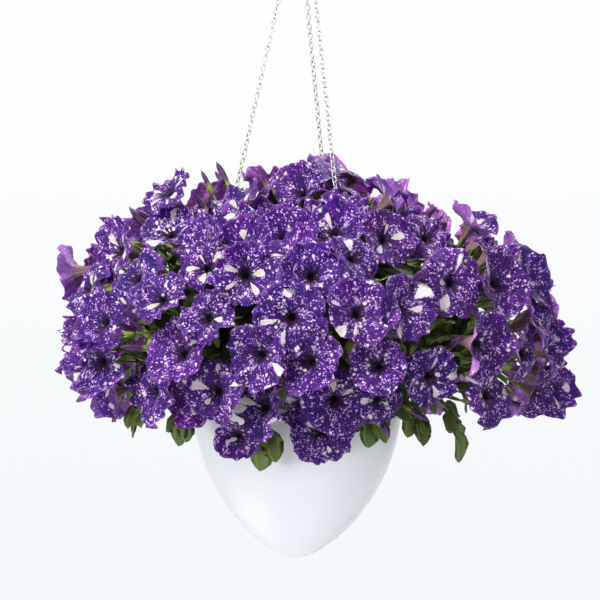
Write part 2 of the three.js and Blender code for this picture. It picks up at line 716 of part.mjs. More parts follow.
/** A leaf: a blade that widens from its foot, folded a little along its rib. */
function makeLeaf(foot, along, facing, length) {
  const ahead = along.clone().normalize();
  const side = ahead.clone().cross(facing).normalize();
  const face = side.clone().cross(ahead);
  const at = (forward, sideways, lift) =>
    foot
      .clone()
      .addScaledVector(ahead, forward * length)
      .addScaledVector(side, sideways * length)
      .addScaledVector(face, lift);
  const half = [[0, 0.04, 0], [0.5, 0.25, 3], [0.82, 0.2, 1.5]];
  const edge = [...half, [1, 0, -4], ...half.reverse().map(([f, s, l]) => [f, -s, l])];
  const count = edge.length;
  const points = [
    ...edge.map(([f, s, l]) => at(f, s, l)),
    ...edge.map(([f, s, l]) => at(f, s, l - BLADE_THICKNESS)),
    at(0.55, 0, 0.4),
    at(0.55, 0, 0.4 - BLADE_THICKNESS),
  ];
  const faces = [];
  for (let k = 0; k < count; k++) {
    const next = (k + 1) % count;
    faces.push([2 * count, k, next], [2 * count + 1, count + next, count + k]);
    faces.push([k, count + k, count + next], [k, count + next, next]);
  }
  return solidFrom(points, faces);
}

/** Whether a leaf's rib would go through any bloom's face or pass too close by its tube or stalk. */
function strikesAny(foot, tip, room) {
  const spare = vec(0, 0, 0);
  const tries = [0.3, 0.5, 0.7, 0.9].map((along) => foot.clone().lerp(tip, along));
  return blooms.some(({ centre, axis, size, fork }) => {
    const base = centre.clone().addScaledVector(axis, -BLOOM_LENGTH * size);
    const [low, high] = [foot, tip].map((point) => point.clone().sub(centre).dot(axis));
    const crossing = foot.clone().lerp(tip, low / (low - high));
    if (low * high < 0 && crossing.distanceTo(centre) < BLOOM_RADIUS) return true;
    const [tube, stalk] = [new THREE.Line3(centre, base), new THREE.Line3(base, fork)];
    return tries.some(
      (point) =>
        tube.closestPointToPoint(point, true, spare).distanceTo(point) < room + TUBE_ROOM ||
        stalk.closestPointToPoint(point, true, spare).distanceTo(point) < room,
    );
  });
}

/** Leafy shoots that hang out over the rim all round, under the blooms. */
function makeShoots() {
  const draw = drawer(7331);
  return SHOOTS.map(([turnDegrees, reach, tipHeight]) => {
    const turn = radians(turnDegrees);
    const at = (radius, height) => bearing(turn, 0).multiplyScalar(radius).setZ(height);
    const bend = [at(...SHOOT_ROOT), at(reach, SHOOT_KNEE), at(reach + 6, tipHeight)];
    const stem = new THREE.QuadraticBezierCurve3(...bend);
    const parts = [wire(stem, SHOOT_RADIUS, 3, 4)];
    SHOOT_FANS.forEach(([fan, dip], k) => {
      const share = k / (SHOOT_FANS.length - 1);
      const foot = stem.getPoint(SHOOT_LEAF.first + SHOOT_LEAF.span * share);
      const along = bearing(turn + fan + 0.5 * (draw() - 0.5), dip - 0.3 * draw());
      const length = SHOOT_LEAF.length + SHOOT_LEAF.spread * draw();
      const tip = foot.clone().addScaledVector(along, length);
      if (strikesAny(foot, tip, SHOOT_LEAF.room)) return;
      parts.push(makeLeaf(foot, along, bearing(turn, 0.9), length));
    });
    return joined(parts);
  });
}

/** Leaves that stand out of the core and show between the blooms. */
function makeInnerLeaves() {
  const draw = drawer(52361);
  return evenRises(INNER_LEAVES).flatMap((rise, k) => {
    const turn = k * GOLDEN_ANGLE + 2.1;
    const foot = moundPoint(turn, rise, CORE_SCALE - 0.03);
    const along = bearing(turn + 0.9 * (draw() - 0.5), 0.8 * rise + 0.8 * (draw() - 0.4));
    const length = INNER_LEAF.length + INNER_LEAF.spread * draw();
    const tip = foot.clone().addScaledVector(along, length);
    if (strikesAny(foot, tip, INNER_LEAF.room)) return [];
    return [makeLeaf(foot, along, bearing(turn, rise * 0.5 + 1.2), length)];
  });
}

/** The three plants' stems, which stand in the soil's holes. */
function makeStems() {
  return CHAINS.map((_, k) => {
    const at = bearing(plantTurn(k), 0).multiplyScalar(STEM_RING);
    const bottom = SOIL_TOP - STEM_DEPTH + GAP;
    return rod(at.clone().setZ(bottom), at.clone().setZ(12), STEM_RADIUS, STEM_RADIUS, 8);
  });
}

// ---- the basket ---------------------------------------------------------------------------
const sprays = gatherSprays(placeBlooms());
const blooms = sprays.flatMap(({ blooms: own, fork }) => own.map((bloom) => ({ ...bloom, fork })));
const ways = joined(CHAINS.map(chainWay));
const clearOfCore = makeCore(GAP).add(ways);

/** Each spray, cut clear of the core, the chains and the sprays before it. */
function makeSprays() {
  const before = [];
  return sprays.map((spray) => {
    let solid = makeSpray(spray).subtract(clearOfCore);
    const reach = solid.boundingBox();
    for (const other of before) {
      const apart = [0, 1, 2].some(
        (i) => other.reach.min[i] > reach.max[i] || other.reach.max[i] < reach.min[i],
      );
      if (!apart) solid = solid.subtract(other.grown);
    }
    const grown = makeSpray(spray, GAP);
    before.push({ grown, reach: grown.boundingBox() });
    return { solid: mainBody(solid), grown };
  });
}

const spraySolids = makeSprays();
const allBlooms = joined(spraySolids.map(({ grown }) => grown));
const plants = joined([makeCore(), ...makeShoots(), ...makeInnerLeaves(), ...makeStems()])
  .subtract(allBlooms)
  .subtract(ways);

const basket = new THREE.Group();
basket.add(meshOf("pot", makePot(), white));
basket.add(meshOf("soil", makeSoil(), peat));
basket.add(meshOf("hook", makeHook(), steel));
for (const chain of CHAINS) basket.add(meshOf(chain.name, makeChain(chain), steel));
basket.add(meshOf("foliage", plants, green));
spraySolids.forEach(({ solid }, k) => {
  basket.add(meshOf(`spray_${String(k + 1).padStart(2, "0")}`, solid, violet));
});
basket.position.z = -BEARING_HEIGHT;
export default basket;
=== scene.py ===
"""A petunia hanging basket: glossy white pointed pot, three thin chains, and a mound of violet
blooms speckled with white.

Lengths inside the shape functions are millimetres above the pot's rim, as in the part's source;
make_piece() lowers them to the frame's origin at the hook and turns them into metres.
"""

import bpy
import numpy as np
from mathutils import Matrix, Vector


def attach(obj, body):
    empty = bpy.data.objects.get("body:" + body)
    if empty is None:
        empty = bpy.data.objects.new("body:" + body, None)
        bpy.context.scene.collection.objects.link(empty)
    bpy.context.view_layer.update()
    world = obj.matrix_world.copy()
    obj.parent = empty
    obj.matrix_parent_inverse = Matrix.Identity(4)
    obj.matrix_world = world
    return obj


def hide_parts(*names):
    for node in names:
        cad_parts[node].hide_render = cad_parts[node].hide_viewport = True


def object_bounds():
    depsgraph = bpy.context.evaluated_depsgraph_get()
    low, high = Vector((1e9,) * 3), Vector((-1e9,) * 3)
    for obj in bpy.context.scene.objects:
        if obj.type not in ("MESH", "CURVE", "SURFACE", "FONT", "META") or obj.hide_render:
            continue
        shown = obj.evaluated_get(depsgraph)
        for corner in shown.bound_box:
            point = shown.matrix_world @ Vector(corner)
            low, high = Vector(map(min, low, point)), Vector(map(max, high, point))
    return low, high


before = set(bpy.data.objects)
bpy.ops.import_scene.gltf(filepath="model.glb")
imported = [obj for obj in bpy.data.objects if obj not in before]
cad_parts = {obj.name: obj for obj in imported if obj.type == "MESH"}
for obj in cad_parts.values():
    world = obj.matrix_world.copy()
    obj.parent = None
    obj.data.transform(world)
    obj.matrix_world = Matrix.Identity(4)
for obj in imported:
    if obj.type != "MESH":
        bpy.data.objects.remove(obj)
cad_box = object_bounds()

TURN = 2 * np.pi
GOLDEN_ANGLE = np.pi * (3 - np.sqrt(5))
MM = 0.001

# ---- sizes shared with the part's source, in millimetres ------------------------------------
GAP = 0.35
POT = dict(radius=121.0, depth=190.0, point=1.32, wall=2.8, lip_out=2.4, lip_height=5.0)
SOIL_TOP = -16.0
EAR_HOLE_HEIGHT, EAR_HOLE_RADIUS = 5.0, 2.6
CHAINS = [("chain_front", 33, 42), ("chain_rear", 153, 0), ("chain_left", -87, -42)]
RING_WIRE, FOOT_RING, TOP_RING = 0.9, 4.5, 3.8
FOOT_RING_HEIGHT = EAR_HOLE_HEIGHT + EAR_HOLE_RADIUS - RING_WIRE + FOOT_RING - 0.6
HOOK_WIRE, EYE_HEIGHT, EYE_BEND = 1.9, 536.0, 9.0
CROOK_HEIGHT, CROOK_BEND = 571.0, 13.0
BEARING_HEIGHT = CROOK_HEIGHT + CROOK_BEND - HOOK_WIRE

MOUND = dict(across=272.0, deep=256.0, middle=78.0, up=184.0, down=106.0, shift=8.0)
LOWEST_RISE, HIGHEST_RISE = np.radians(-44), 1.5
BULGES = [  # turn, rise, how far out, spread
    (-88, 20, -0.01, 26), (84, -14, 0.06, 34), (10, -30, -0.1, 40), (180, -30, -0.06, 40),
    (20, 78, 0.03, 20), (90, 50, -0.17, 18), (45, 50, -0.1, 18), (135, 50, -0.1, 18),
    (-90, 60, -0.09, 24), (-45, -40, -0.14, 26), (-14, 58, -0.27, 27), (150, 70, 0.04, 24),
]
LOBES, NOTCH = 5, 0.82
BLOOM_COUNT, BLOOM_SPACING, BLOOM_RADIUS, BLOOM_LENGTH = 128, 46.0, 37.0, 43.0
BLOOM_SIZES = (0.78, 0.3)  # the least, and how much they vary
CHAIN_ROOM = 16  # least distance from a bloom's place to a chain
JITTER = (0.12, 0.1)
NUDGES = [(0, 0), (0.07, 0), (-0.07, 0), (0, 0.09), (0, -0.09)]  # ways off a place that is taken
BLOOM_SHIFTS, BLOOM_LEANS = [0, -9, 8, -17], [0, -0.24, 0.24]
SHIFT_RISE = 0.8  # blooms stand out at this share of their place's rise
LEAN_EFFORT, TUBE_COST = 0.15, 4  # what a lean or a pierced tube counts, against one edge point
NEIGHBOURHOOD = 88  # how far off the blooms are that another has to stand clear of
TUBE_REACH = 11  # how near a bloom's axis an edge counts as going through its tube
SPRAY_COUNT, SPRAY_START = 46, 0.96
SHOWN = [  # the blooms that show best from the front: how far across and up each one sits
    (-48, 246), (-91, 228), (5, 244), (-22, 213), (108, 199), (-104, 162), (-58, 150), (16, 152),
    (62, 174), (-97, 104), (66, 112), (114, 114), (-43, 62), (12, 58), (88, 52), (-8, 104),
    (-212, 170), (-159, 203), (-148, 122), (-128, 66), (-222, 45), (-216, 92), (-238, 128),
    (168, 140), (218, 138), (199, 72), (148, 38), (-184, 8), (-97, 18), (-46, -4), (6, -18),
    (96, 8), (212, 16), (160, 200), (245, 60), (44, 8),
]
LEAFY = [(-174, 44, 40), (-30, 26, 30), (134, 156, 20), (150, 66, 26)]  # across, up and radius
SHOWN_TURN = 0.72  # how far round those that show best face, as a share of their own turn
FACING_RISE = (0.62, 0.14)  # a bloom's own rise, as a share of its place's and a bit more
FACING_PLAY = (0.72, 0.6)  # how widely the blooms' facings vary, round and up
STRAYS = [  # turn, rise, how far out, then the turn and rise it faces, and its size
    (-88, 18, 14, -96, -12, 0.9), (-64, 53, 46, -50, 40, 0.85), (66, 42, 26, 62, 60, 0.8),
    (96, 26, 14, 120, 26, 0.92), (86, -22, 14, 46, -22, 0.9), (-22, -60, 26, -16, -20, 0.66),
    (-148, 30, 24, -150, 4, 0.88), (176, 6, 20, 160, -10, 0.85), (6, -62, 14, 4, -14, 0.96),
]
CORE_SCALE, CORE_FLOOR, FORK_OUT = 0.68, 3.0, 0.06
SHOOTS = [  # turn, reach and the height of the tip, all round from the front
    (-13, 136, -30), (33, 136, -14), (56, 152, -14), (70, 184, -30), (100, 176, -34),
    (130, 182, -30), (160, 170, -36), (-168, 178, -30), (-135, 172, -34), (-102, 180, -28),
    (-62, 190, 4), (-44, 168, -14),
]
SHOOT_ROOT = (116, 22)  # radius and height where a shoot leaves the mound's core
SHOOT_KNEE, SHOOT_TIP = 8, 6  # the height at which it turns down, and how far on its tip is
SHOOT_FANS = [(1.1, -0.35), (-1.1, -0.6), (0.45, -0.8), (-0.3, -1.0)]  # round and up
SHOOT_LEAF = dict(first=0.58, span=0.38, round=0.5, up=0.3, length=34, spread=12, room=9)
INNER_LEAF = dict(start=2.1, sunk=0.03, round=0.9, up=0.8, length=58, spread=16, room=11)
INNER_LEAVES = 46  # tried; those that would strike a bloom are left out
TUBE_ROOM = 5  # extra room that a leaf leaves beside a bloom's tube

# ---- numbers and directions -------------------------------------------------------------------


def drawer(seed):
    """A repeatable draw of numbers from 0 to 1, the same one as in the part's source."""
    state = seed

    def draw():
        nonlocal state
        state = (state * 16807) % 2147483647
        return state / 2147483647

    return draw


def bearing(turn, rise):
    """Unit direction at a turn from the front (-Y) towards +X and a rise above level."""
    turn, rise = np.broadcast_arrays(np.asarray(turn, float), np.asarray(rise, float))
    return np.stack([np.sin(turn) * np.cos(rise), -np.cos(turn) * np.cos(rise), np.sin(rise)], -1)


def unit(v):
    return v / np.linalg.norm(v, axis=-1, keepdims=True)


def face_axes(axis):
    """The direction across a facing and level with the ground, and the one up its face."""
    side = unit(np.cross([0.0, 0.0, 1.0], axis))
    return side, np.cross(axis, side)


def ring_angles(count):
    """Angles that split a full turn evenly."""
    return TURN * np.arange(count) / count


def around(radius, angle, side, up):
    """Offsets r cos(a) side + r sin(a) up, for radii and angles that broadcast together."""
    return (radius * np.cos(angle))[..., None] * side + (radius * np.sin(angle))[..., None] * up


def bezier(first, knee, last, share):
    """The curve from first to last that bends towards its knee, at shares of its way."""
    share = np.asarray(share)[..., None]
    return (1 - share) ** 2 * first + 2 * share * (1 - share) * knee + share ** 2 * last


# ---- the mound and what stands on it ------------------------------------------------------------


def bulge(turn, rise):
    """How far the mound bulges at a bearing: one plus a bell curve about each bulge."""
    here = bearing(turn, rise)
    factor = np.ones(here.shape[:-1])
    for b_turn, b_rise, out, spread in BULGES:
        there = bearing(np.radians(b_turn), np.radians(b_rise))
        away = np.arccos(np.clip(here @ there, -1, 1)) / np.radians(spread)
        factor = factor + out * np.exp(-away * away)
    return factor


def mound_point(turn, rise, scale=1.0):
    """The mound's point at a turn and rise: an ellipsoid above its middle, squarer below it."""
    turn, rise = np.broadcast_arrays(np.asarray(turn, float), np.asarray(rise, float))
    below = rise < 0
    reach = np.where(below, np.sqrt(np.cos(rise)), np.cos(rise))
    sine = np.sin(rise)
    height = np.where(below, -MOUND["down"] * np.sqrt(np.maximum(-sine, 0)), MOUND["up"] * sine)
    factor = scale * bulge(turn, rise)
    return np.stack([
        factor * MOUND["across"] * reach * np.sin(turn) + MOUND["shift"],
        -factor * MOUND["deep"] * reach * np.cos(turn),
        MOUND["middle"] + factor * height,
    ], -1)


def front_bearing(across, height):
    """The turn and rise of the mound's front point that lies this far across and up."""
    above = height > MOUND["middle"]
    lift = (height - MOUND["middle"]) / (MOUND["up"] if above else MOUND["down"])
    rise = np.arcsin(lift) if above else -np.arcsin(lift * lift)
    reach = MOUND["across"] * (np.sqrt(np.cos(rise)) if rise < 0 else np.cos(rise))
    return float(np.arcsin(np.clip((across - MOUND["shift"]) / reach, -1, 1))), float(rise)


def even_rises(count):
    """Rises that split the mound, from its lowest bloom to its top, into equal areas."""
    steps = 120
    rises = LOWEST_RISE + (np.pi / 2 - LOWEST_RISE) * np.arange(steps + 1) / steps
    line = mound_point(0.0, rises)
    lengths = np.linalg.norm(np.diff(line, axis=0), axis=1)
    shares = -lengths * (line[1:, 1] + line[:-1, 1])
    areas = np.concatenate([[0.0], np.cumsum(shares)])
    targets = areas[-1] * (np.arange(count) + 0.5) / count
    i = np.searchsorted(areas, targets, side="right") - 1
    part = (targets - areas[i]) / (areas[i + 1] - areas[i])
    return LOWEST_RISE + (np.pi / 2 - LOWEST_RISE) * (i + part) / steps


def eye_point(angle, radius):
    """The point of the eye's wire line at an angle from straight down."""
    return np.array([radius * np.sin(angle), 0.0, EYE_HEIGHT - radius * np.cos(angle)])


def chain_ends(turn, eye_turn):
    """Where a chain's links start and end, and how far its top ring hangs below the eye's wire."""
    foot = bearing(np.radians(turn), 0.0) * (POT["radius"] - POT["wall"] / 2)
    foot[2] = FOOT_RING_HEIGHT + FOOT_RING
    drop = TOP_RING - RING_WIRE - HOOK_WIRE - GAP
    return foot, eye_point(np.radians(eye_turn), EYE_BEND + drop + TOP_RING), drop


def off_segment(point, start, end):
    """How far a point lies from a straight stretch."""
    along = end - start
    share = np.clip((point - start) @ along / (along @ along), 0, 1)
    return np.linalg.norm(start + share * along - point)


def bloom_bearings():
    """Turn and rise of every bloom: those that show best, then a spiral between them."""
    draw = drawer(4127)
    taken = [front_bearing(*place) for place in SHOWN]
    points = [mound_point(turn, rise) for turn, rise in taken]
    ends = [chain_ends(turn, eye)[:2] for _, turn, eye in CHAINS]

    def free(point):
        """Whether a place is clear of the blooms so far, the chains and the leafy patches."""
        x, y, z = point
        return (np.min(np.linalg.norm(np.array(points) - point, axis=1)) >= BLOOM_SPACING
                and min(off_segment(point, *end) for end in ends) >= CHAIN_ROOM
                and not any(y < 0 and np.hypot(x - a, z - b) < r for a, b, r in LEAFY))

    for k, even in enumerate(even_rises(BLOOM_COUNT)):
        jitter = [play * (draw() - 0.5) for play in JITTER]
        for sideways, upwards in NUDGES:
            turn = k * GOLDEN_ANGLE + jitter[0] + sideways / max(0.2, np.cos(even))
            rise = min(even + jitter[1] + upwards, HIGHEST_RISE)
            point = mound_point(turn, rise)
            if free(point):
                taken.append((turn, rise))
                points.append(point)
                break
    return taken


def settle(place, shift, lean_up, lean_round):
    """A bloom at its place on the mound, standing out by shift and leaning as given."""
    centre = place["ground"] + shift * bearing(place["turn"], SHIFT_RISE * place["rise"])
    axis = bearing(place["face_turn"] + lean_round, place["face_rise"] + lean_up)
    radius = np.where(np.arange(2 * LOBES) % 2 == 0, 1, NOTCH) * BLOOM_RADIUS * place["size"]
    edge = centre + around(radius, place["spin"] + ring_angles(2 * LOBES), *face_axes(axis))
    return dict(place, centre=centre, axis=axis, edge=edge)


def stacked(blooms, *keys):
    """What the blooms have under each key, one array to a key."""
    return {key: np.array([bloom[key] for bloom in blooms]) for key in keys}


def piercing(ones, others):
    """How badly each bloom's edge or tube goes through each other bloom's face or tube."""
    away = ones["edge"][:, None] - others["centre"][None, :, None]
    height = np.einsum("ckei,ki->cke", away, others["axis"])
    out = np.sqrt(np.maximum(0, np.sum(away * away, -1) - height * height))
    within = out <= BLOOM_RADIUS * others["size"][None, :, None]
    front = np.sum(within & (height > 0), -1)
    behind = np.sum(within & ~(height > 0), -1)
    tube = np.sum(within & (height < 0) & (height > -BLOOM_LENGTH) & (out < TUBE_REACH), -1)
    start = ones["centre"][:, None] - others["centre"][None]
    end = start - ones["axis"][:, None] * (BLOOM_LENGTH * ones["size"])[:, None, None]
    h_start = np.einsum("cki,ki->ck", start, others["axis"])
    h_end = np.einsum("cki,ki->ck", end, others["axis"])
    share = h_start / np.where(h_start == h_end, 1, h_start - h_end)
    crossing = np.linalg.norm(start + (end - start) * share[..., None], axis=-1)
    through = (h_start * h_end < 0) & (crossing < BLOOM_RADIUS * others["size"][None])
    return np.minimum(front, behind) + tube + TUBE_COST * through


def clearest(place, placed):
    """The way for a bloom to stand and lean that goes least through those already placed."""
    ways = [(s, up, sideways) for s in range(len(BLOOM_SHIFTS)) for up in BLOOM_LEANS
            for sideways in BLOOM_LEANS]
    tries = [settle(place, BLOOM_SHIFTS[s], up, sideways) for s, up, sideways in ways]
    cost = np.array([LEAN_EFFORT * (s + abs(up) + abs(sideways)) for s, up, sideways in ways])
    near = [b for b in placed if np.linalg.norm(b["centre"] - place["ground"]) < NEIGHBOURHOOD]
    if near:
        ones, others = (stacked(some, "centre", "axis", "edge", "size") for some in (tries, near))
        forth, back = piercing(ones, others), piercing(others, ones).T
        for k in range(len(near)):
            cost = cost + forth[:, k] + back[:, k]
    return tries[int(np.argmin(cost))]


def place_blooms():
    """Every bloom: the middle of its face, the way it faces, its spin and its size."""
    draw = drawer(90547)
    placed = []
    for turn, rise, out, face_turn, face_rise, size in STRAYS:
        turn, rise, face_turn, face_rise = np.radians([turn, rise, face_turn, face_rise])
        place = dict(turn=turn, rise=rise, face_turn=face_turn, face_rise=face_rise,
                     ground=mound_point(turn, rise), spin=TURN * draw(), size=size)
        placed.append(settle(place, out, 0, 0))
    for k, (turn, rise) in enumerate(bloom_bearings()):
        face_turn = turn * (SHOWN_TURN if k < len(SHOWN) else 1)
        place = dict(turn=turn, rise=rise, ground=mound_point(turn, rise),
                     face_turn=face_turn + FACING_PLAY[0] * (draw() - 0.5),
                     face_rise=(FACING_RISE[0] * rise + FACING_RISE[1]
                                + FACING_PLAY[1] * (draw() - 0.5)),
                     spin=TURN * draw(), size=BLOOM_SIZES[0] + BLOOM_SIZES[1] * draw())
        placed.append(clearest(place, placed))
    return placed


def gather_sprays(blooms):
    """Blooms gathered about the nearest of a spiral of forks below the mound, in node order."""
    rises = even_rises(SPRAY_COUNT)
    turns = np.arange(SPRAY_COUNT) * GOLDEN_ANGLE + SPRAY_START
    grounds = mound_point(turns, rises)
    forks = mound_point(turns, rises, CORE_SCALE + FORK_OUT)
    sprays = [[] for _ in forks]
    for bloom in blooms:
        nearest = int(np.argmin(np.linalg.norm(grounds - bloom["ground"], axis=1)))
        bloom["fork"] = forks[nearest]
        sprays[nearest].append(bloom)
    return [spray for spray in sprays if spray]


# ---- meshes -------------------------------------------------------------------------------------
VECTOR_VALUES = ("petal", "leaf")


def loft_faces(rows, columns):
    """Triangles of a closed body: rings of points, with one point closing each end."""
    r, c = np.meshgrid(np.arange(rows - 1), np.arange(columns), indexing="ij")
    a, b = (1 + r * columns + c).ravel(), (1 + r * columns + (c + 1) % columns).ravel()
    wall = np.stack([a, b, b + columns, a, b + columns, a + columns], -1).reshape(-1, 3)
    c = np.arange(columns)
    after, last = (c + 1) % columns, 1 + (rows - 1) * columns
    start = np.stack([0 * c, 1 + after, 1 + c], -1)
    end = np.stack([0 * c + last + columns, last + c, last + after], -1)
    return np.concatenate([start, wall, end])


def closed(rings, start, end):
    """What bodies have at their rings (bodies, rows, columns, ...), between their two ends'."""
    n, tail = rings.shape[0], rings.shape[3:]
    start, end = (np.broadcast_to(value, (n,) + tail)[:, None] for value in (start, end))
    return np.concatenate([start, rings.reshape((n, -1) + tail), end], 1)


def loft(rings, start, end, material=0, **values):
    """Bodies through rings of points (bodies, rows, columns, 3), closed by start and end points.

    A value for the materials is given as closed() takes it, or as one number or one per body.
    """
    values = {k: closed(*v) if isinstance(v, tuple) else v for k, v in values.items()}
    return dict(points=closed(rings, start, end), faces=loft_faces(*rings.shape[1:3]),
                material=material, values=values)


def tubes(path, radius, sides, material=0, **values):
    """Round bodies along paths (bodies, steps, 3), a little pinched at their closed ends.

    Round each step the surface lies at r cos(a) side - r sin(a) up, square to the way ahead.
    """
    radius = np.broadcast_to(radius, path.shape[:2])[..., None]
    ahead = unit(np.gradient(path, axis=1))
    guide = np.where(np.abs(ahead[:, :1, 2:]) > 0.8, [1.0, 0, 0], [0, 0, 1.0])
    side = unit(np.cross(ahead, guide))
    up = np.cross(side, ahead)
    ring = around(radius, -ring_angles(sides), side[:, :, None], up[:, :, None])
    pinch = 0.4 * radius * ahead
    return loft(path[:, :, None] + ring, path[:, 0] - pinch[:, 0], path[:, -1] + pinch[:, -1],
                material, **values)


def torus(path, wire, sides):
    """Closed rings of wire (bodies, steps, 3), whose last step joins the first.

    Round each step the wire's surface lies at r cos(a) out of the ring and r sin(a) across it.
    """
    n, steps = path.shape[:2]
    ahead = unit(np.roll(path, -1, 1) - np.roll(path, 1, 1))
    flat = np.linalg.svd(path - path.mean(1, keepdims=True), full_matrices=False)[2][:, 2:]
    normal = np.broadcast_to(flat, path.shape)
    side = unit(np.cross(ahead, normal))
    ring = around(wire, ring_angles(sides), side[:, :, None], normal[:, :, None])
    r, c = np.meshgrid(np.arange(steps), np.arange(sides), indexing="ij")

    def corner(down, over):
        return ((r + down) % steps * sides + (c + over) % sides).ravel()

    square = corner(0, 0), corner(0, 1), corner(1, 1), corner(0, 0), corner(1, 1), corner(1, 0)
    return dict(points=(path[:, :, None] + ring).reshape(n, -1, 3), material=0, values={},
                faces=np.stack(square, -1).reshape(-1, 3))


def lathe(radius, height, columns):
    """A closed body of revolution from a profile whose two ends lie near the axis."""
    angle, radius, height = ring_angles(columns), radius[:, None], height[:, None]
    rings = np.broadcast_arrays(radius * np.cos(angle), radius * np.sin(angle), height)
    start, end = [0, 0, height[0, 0]], [0, 0, height[-1, 0]]
    return loft(np.stack(rings, -1)[None], start, end)


def make_piece(name, parts, materials, slot, *nodes):
    """A mesh of closed parts, in place of CAD nodes; lengths come in millimetres above the rim."""
    points, faces, index, start = [], [], [], 0
    values = {key: [] for key in sorted({key for part in parts for key in part["values"]})}
    for part in parts:
        n, k = part["points"].shape[:2]
        points.append(part["points"].reshape(-1, 3))
        faces.append((part["faces"] + start + k * np.arange(n)[:, None, None]).reshape(-1, 3))
        index.append(np.tile(np.broadcast_to(part["material"], len(part["faces"])), n))
        for key, value in values.items():
            shape = (n, k, 3) if key in VECTOR_VALUES else (n, k)
            value.append(np.broadcast_to(part["values"].get(key, 0.0), shape).ravel())
        start += n * k
    points = (np.concatenate(points) - [0, 0, BEARING_HEIGHT]) * MM
    faces = np.concatenate(faces)
    mesh = bpy.data.meshes.new(name)
    mesh.vertices.add(len(points))
    mesh.vertices.foreach_set("co", points.astype(np.float32).ravel())
    mesh.loops.add(faces.size)
    mesh.loops.foreach_set("vertex_index", faces.astype(np.int32).ravel())
    mesh.polygons.add(len(faces))
    mesh.polygons.foreach_set("loop_start", np.arange(0, faces.size, 3, dtype=np.int32))
    mesh.polygons.foreach_set("material_index", np.concatenate(index).astype(np.int32))
    for key, value in values.items():
        kind, field = ("FLOAT_VECTOR", "vector") if key in VECTOR_VALUES else ("FLOAT", "value")
        data = mesh.attributes.new(key, kind, "POINT").data
        data.foreach_set(field, np.concatenate(value).astype(np.float32))
    mesh.update(calc_edges=True)
    mesh.shade_smooth()
    for material in materials:
        mesh.materials.append(material)
    piece = bpy.data.objects.new(name, mesh)
    bpy.context.scene.collection.objects.link(piece)
    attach(piece, "root")
    if nodes:
        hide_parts(*nodes)


# ---- node graphs --------------------------------------------------------------------------------


def rgb(red, green, blue):
    """A colour as seen on a screen, from 0 to 255, as linear light."""
    value = np.array([red, green, blue]) / 255
    linear = np.where(value < 0.04045, value / 12.92, ((value + 0.055) / 1.055) ** 2.4)
    return tuple(float(v) for v in linear) + (1.0,)


class Graph:
    """Short calls for a node tree: each makes a node and gives back its output socket."""

    def __init__(self, tree):
        self.tree = tree

    def node(self, kind, inputs=(), output=0, **settings):
        made = self.tree.nodes.new(kind if kind.startswith("Node") else "ShaderNode" + kind)
        for key, value in settings.items():
            setattr(made, key, value)
        for key, value in dict(inputs).items():
            self.feed(made.inputs[key], value)
        return made.outputs if output is None else made.outputs[output]

    def feed(self, socket, value):
        if isinstance(value, bpy.types.NodeSocket):
            self.tree.links.new(value, socket)
        else:
            socket.default_value = value

    def maths(self, operation, *values):
        return self.node("Math", enumerate(values), operation=operation)

    def add(self, first, second):
        return self.maths("ADD", first, second)

    def less(self, first, second):
        return self.maths("SUBTRACT", first, second)

    def times(self, first, second):
        return self.maths("MULTIPLY", first, second)

    def most(self, first, second):
        return self.maths("MAXIMUM", first, second)

    def swing(self, value, reach):
        """What a value from 0 to 1 lies above its middle, times reach."""
        return self.times(self.less(value, 0.5), reach)

    def vectors(self, operation, *values, output=0):
        inputs = {"Scale" if operation == "SCALE" and k else k: v for k, v in enumerate(values)}
        return self.node("VectorMath", inputs, output, operation=operation)

    def blend(self, share, first, second):
        return self.node("Mix", {0: share, 6: first, 7: second}, 2, data_type="RGBA")

    def layered(self, colour, *layers):
        """A colour with others laid over it in turn, each by its own share."""
        for share, over in layers:
            colour = self.blend(share, colour, over)
        return colour

    def step(self, value, low, high, to_low=0.0, to_high=1.0):
        """A smooth step from to_low, where the value is low, to to_high."""
        inputs = {0: value, 1: low, 2: high, 3: to_low, 4: to_high}
        return self.node("MapRange", inputs, interpolation_type="SMOOTHSTEP")

    def noise(self, vector, scale, detail, output="Fac"):
        inputs = {"Vector": vector, "Scale": scale, "Detail": detail}
        return self.node("TexNoise", inputs, output)

    def cells(self, vector, scale, output="Distance"):
        return self.node("TexVoronoi", {"Vector": vector, "Scale": scale}, output)

    def attribute(self, name, output="Fac"):
        return self.node("Attribute", (), output, attribute_name=name)

    def spot(self):
        """The place on the piece, in metres from its origin."""
        return self.node("TexCoord", (), "Object")

    def parts(self, vector):
        return self.node("SeparateXYZ", {0: vector}, None)

    def joined(self, x, y, z):
        return self.node("CombineXYZ", {0: x, 1: y, 2: z})


class Finish(Graph):
    """A material's graph; the constants go straight on its surface shader's sockets."""

    def __init__(self, name, **constants):
        self.material = bpy.data.materials.new(name)
        self.material.use_nodes = True
        super().__init__(self.material.node_tree)
        self.shader = next(n for n in self.tree.nodes if n.type == "BSDF_PRINCIPLED").inputs
        for key, value in constants.items():
            self.shader[key.replace("_", " ")].default_value = value

    def dressed(self, colour, bump=None, rough=None):
        """The material, with its colour fed to its shader, and its bump and roughness if any.

        The bump is a height, its distance in metres and its strength. The roughness is a value
        that it follows, and what it is where that is low and where it is high.
        """
        self.feed(self.shader["Base Color"], colour)
        if bump:
            relief = self.node("Bump", zip(("Height", "Distance", "Strength"), bump))
            self.feed(self.shader["Normal"], relief)
        if rough:
            self.feed(self.shader["Roughness"], self.step(rough[0], 0.3, 0.7, *rough[1:]))
        return self.material


# ---- materials ----------------------------------------------------------------------------------


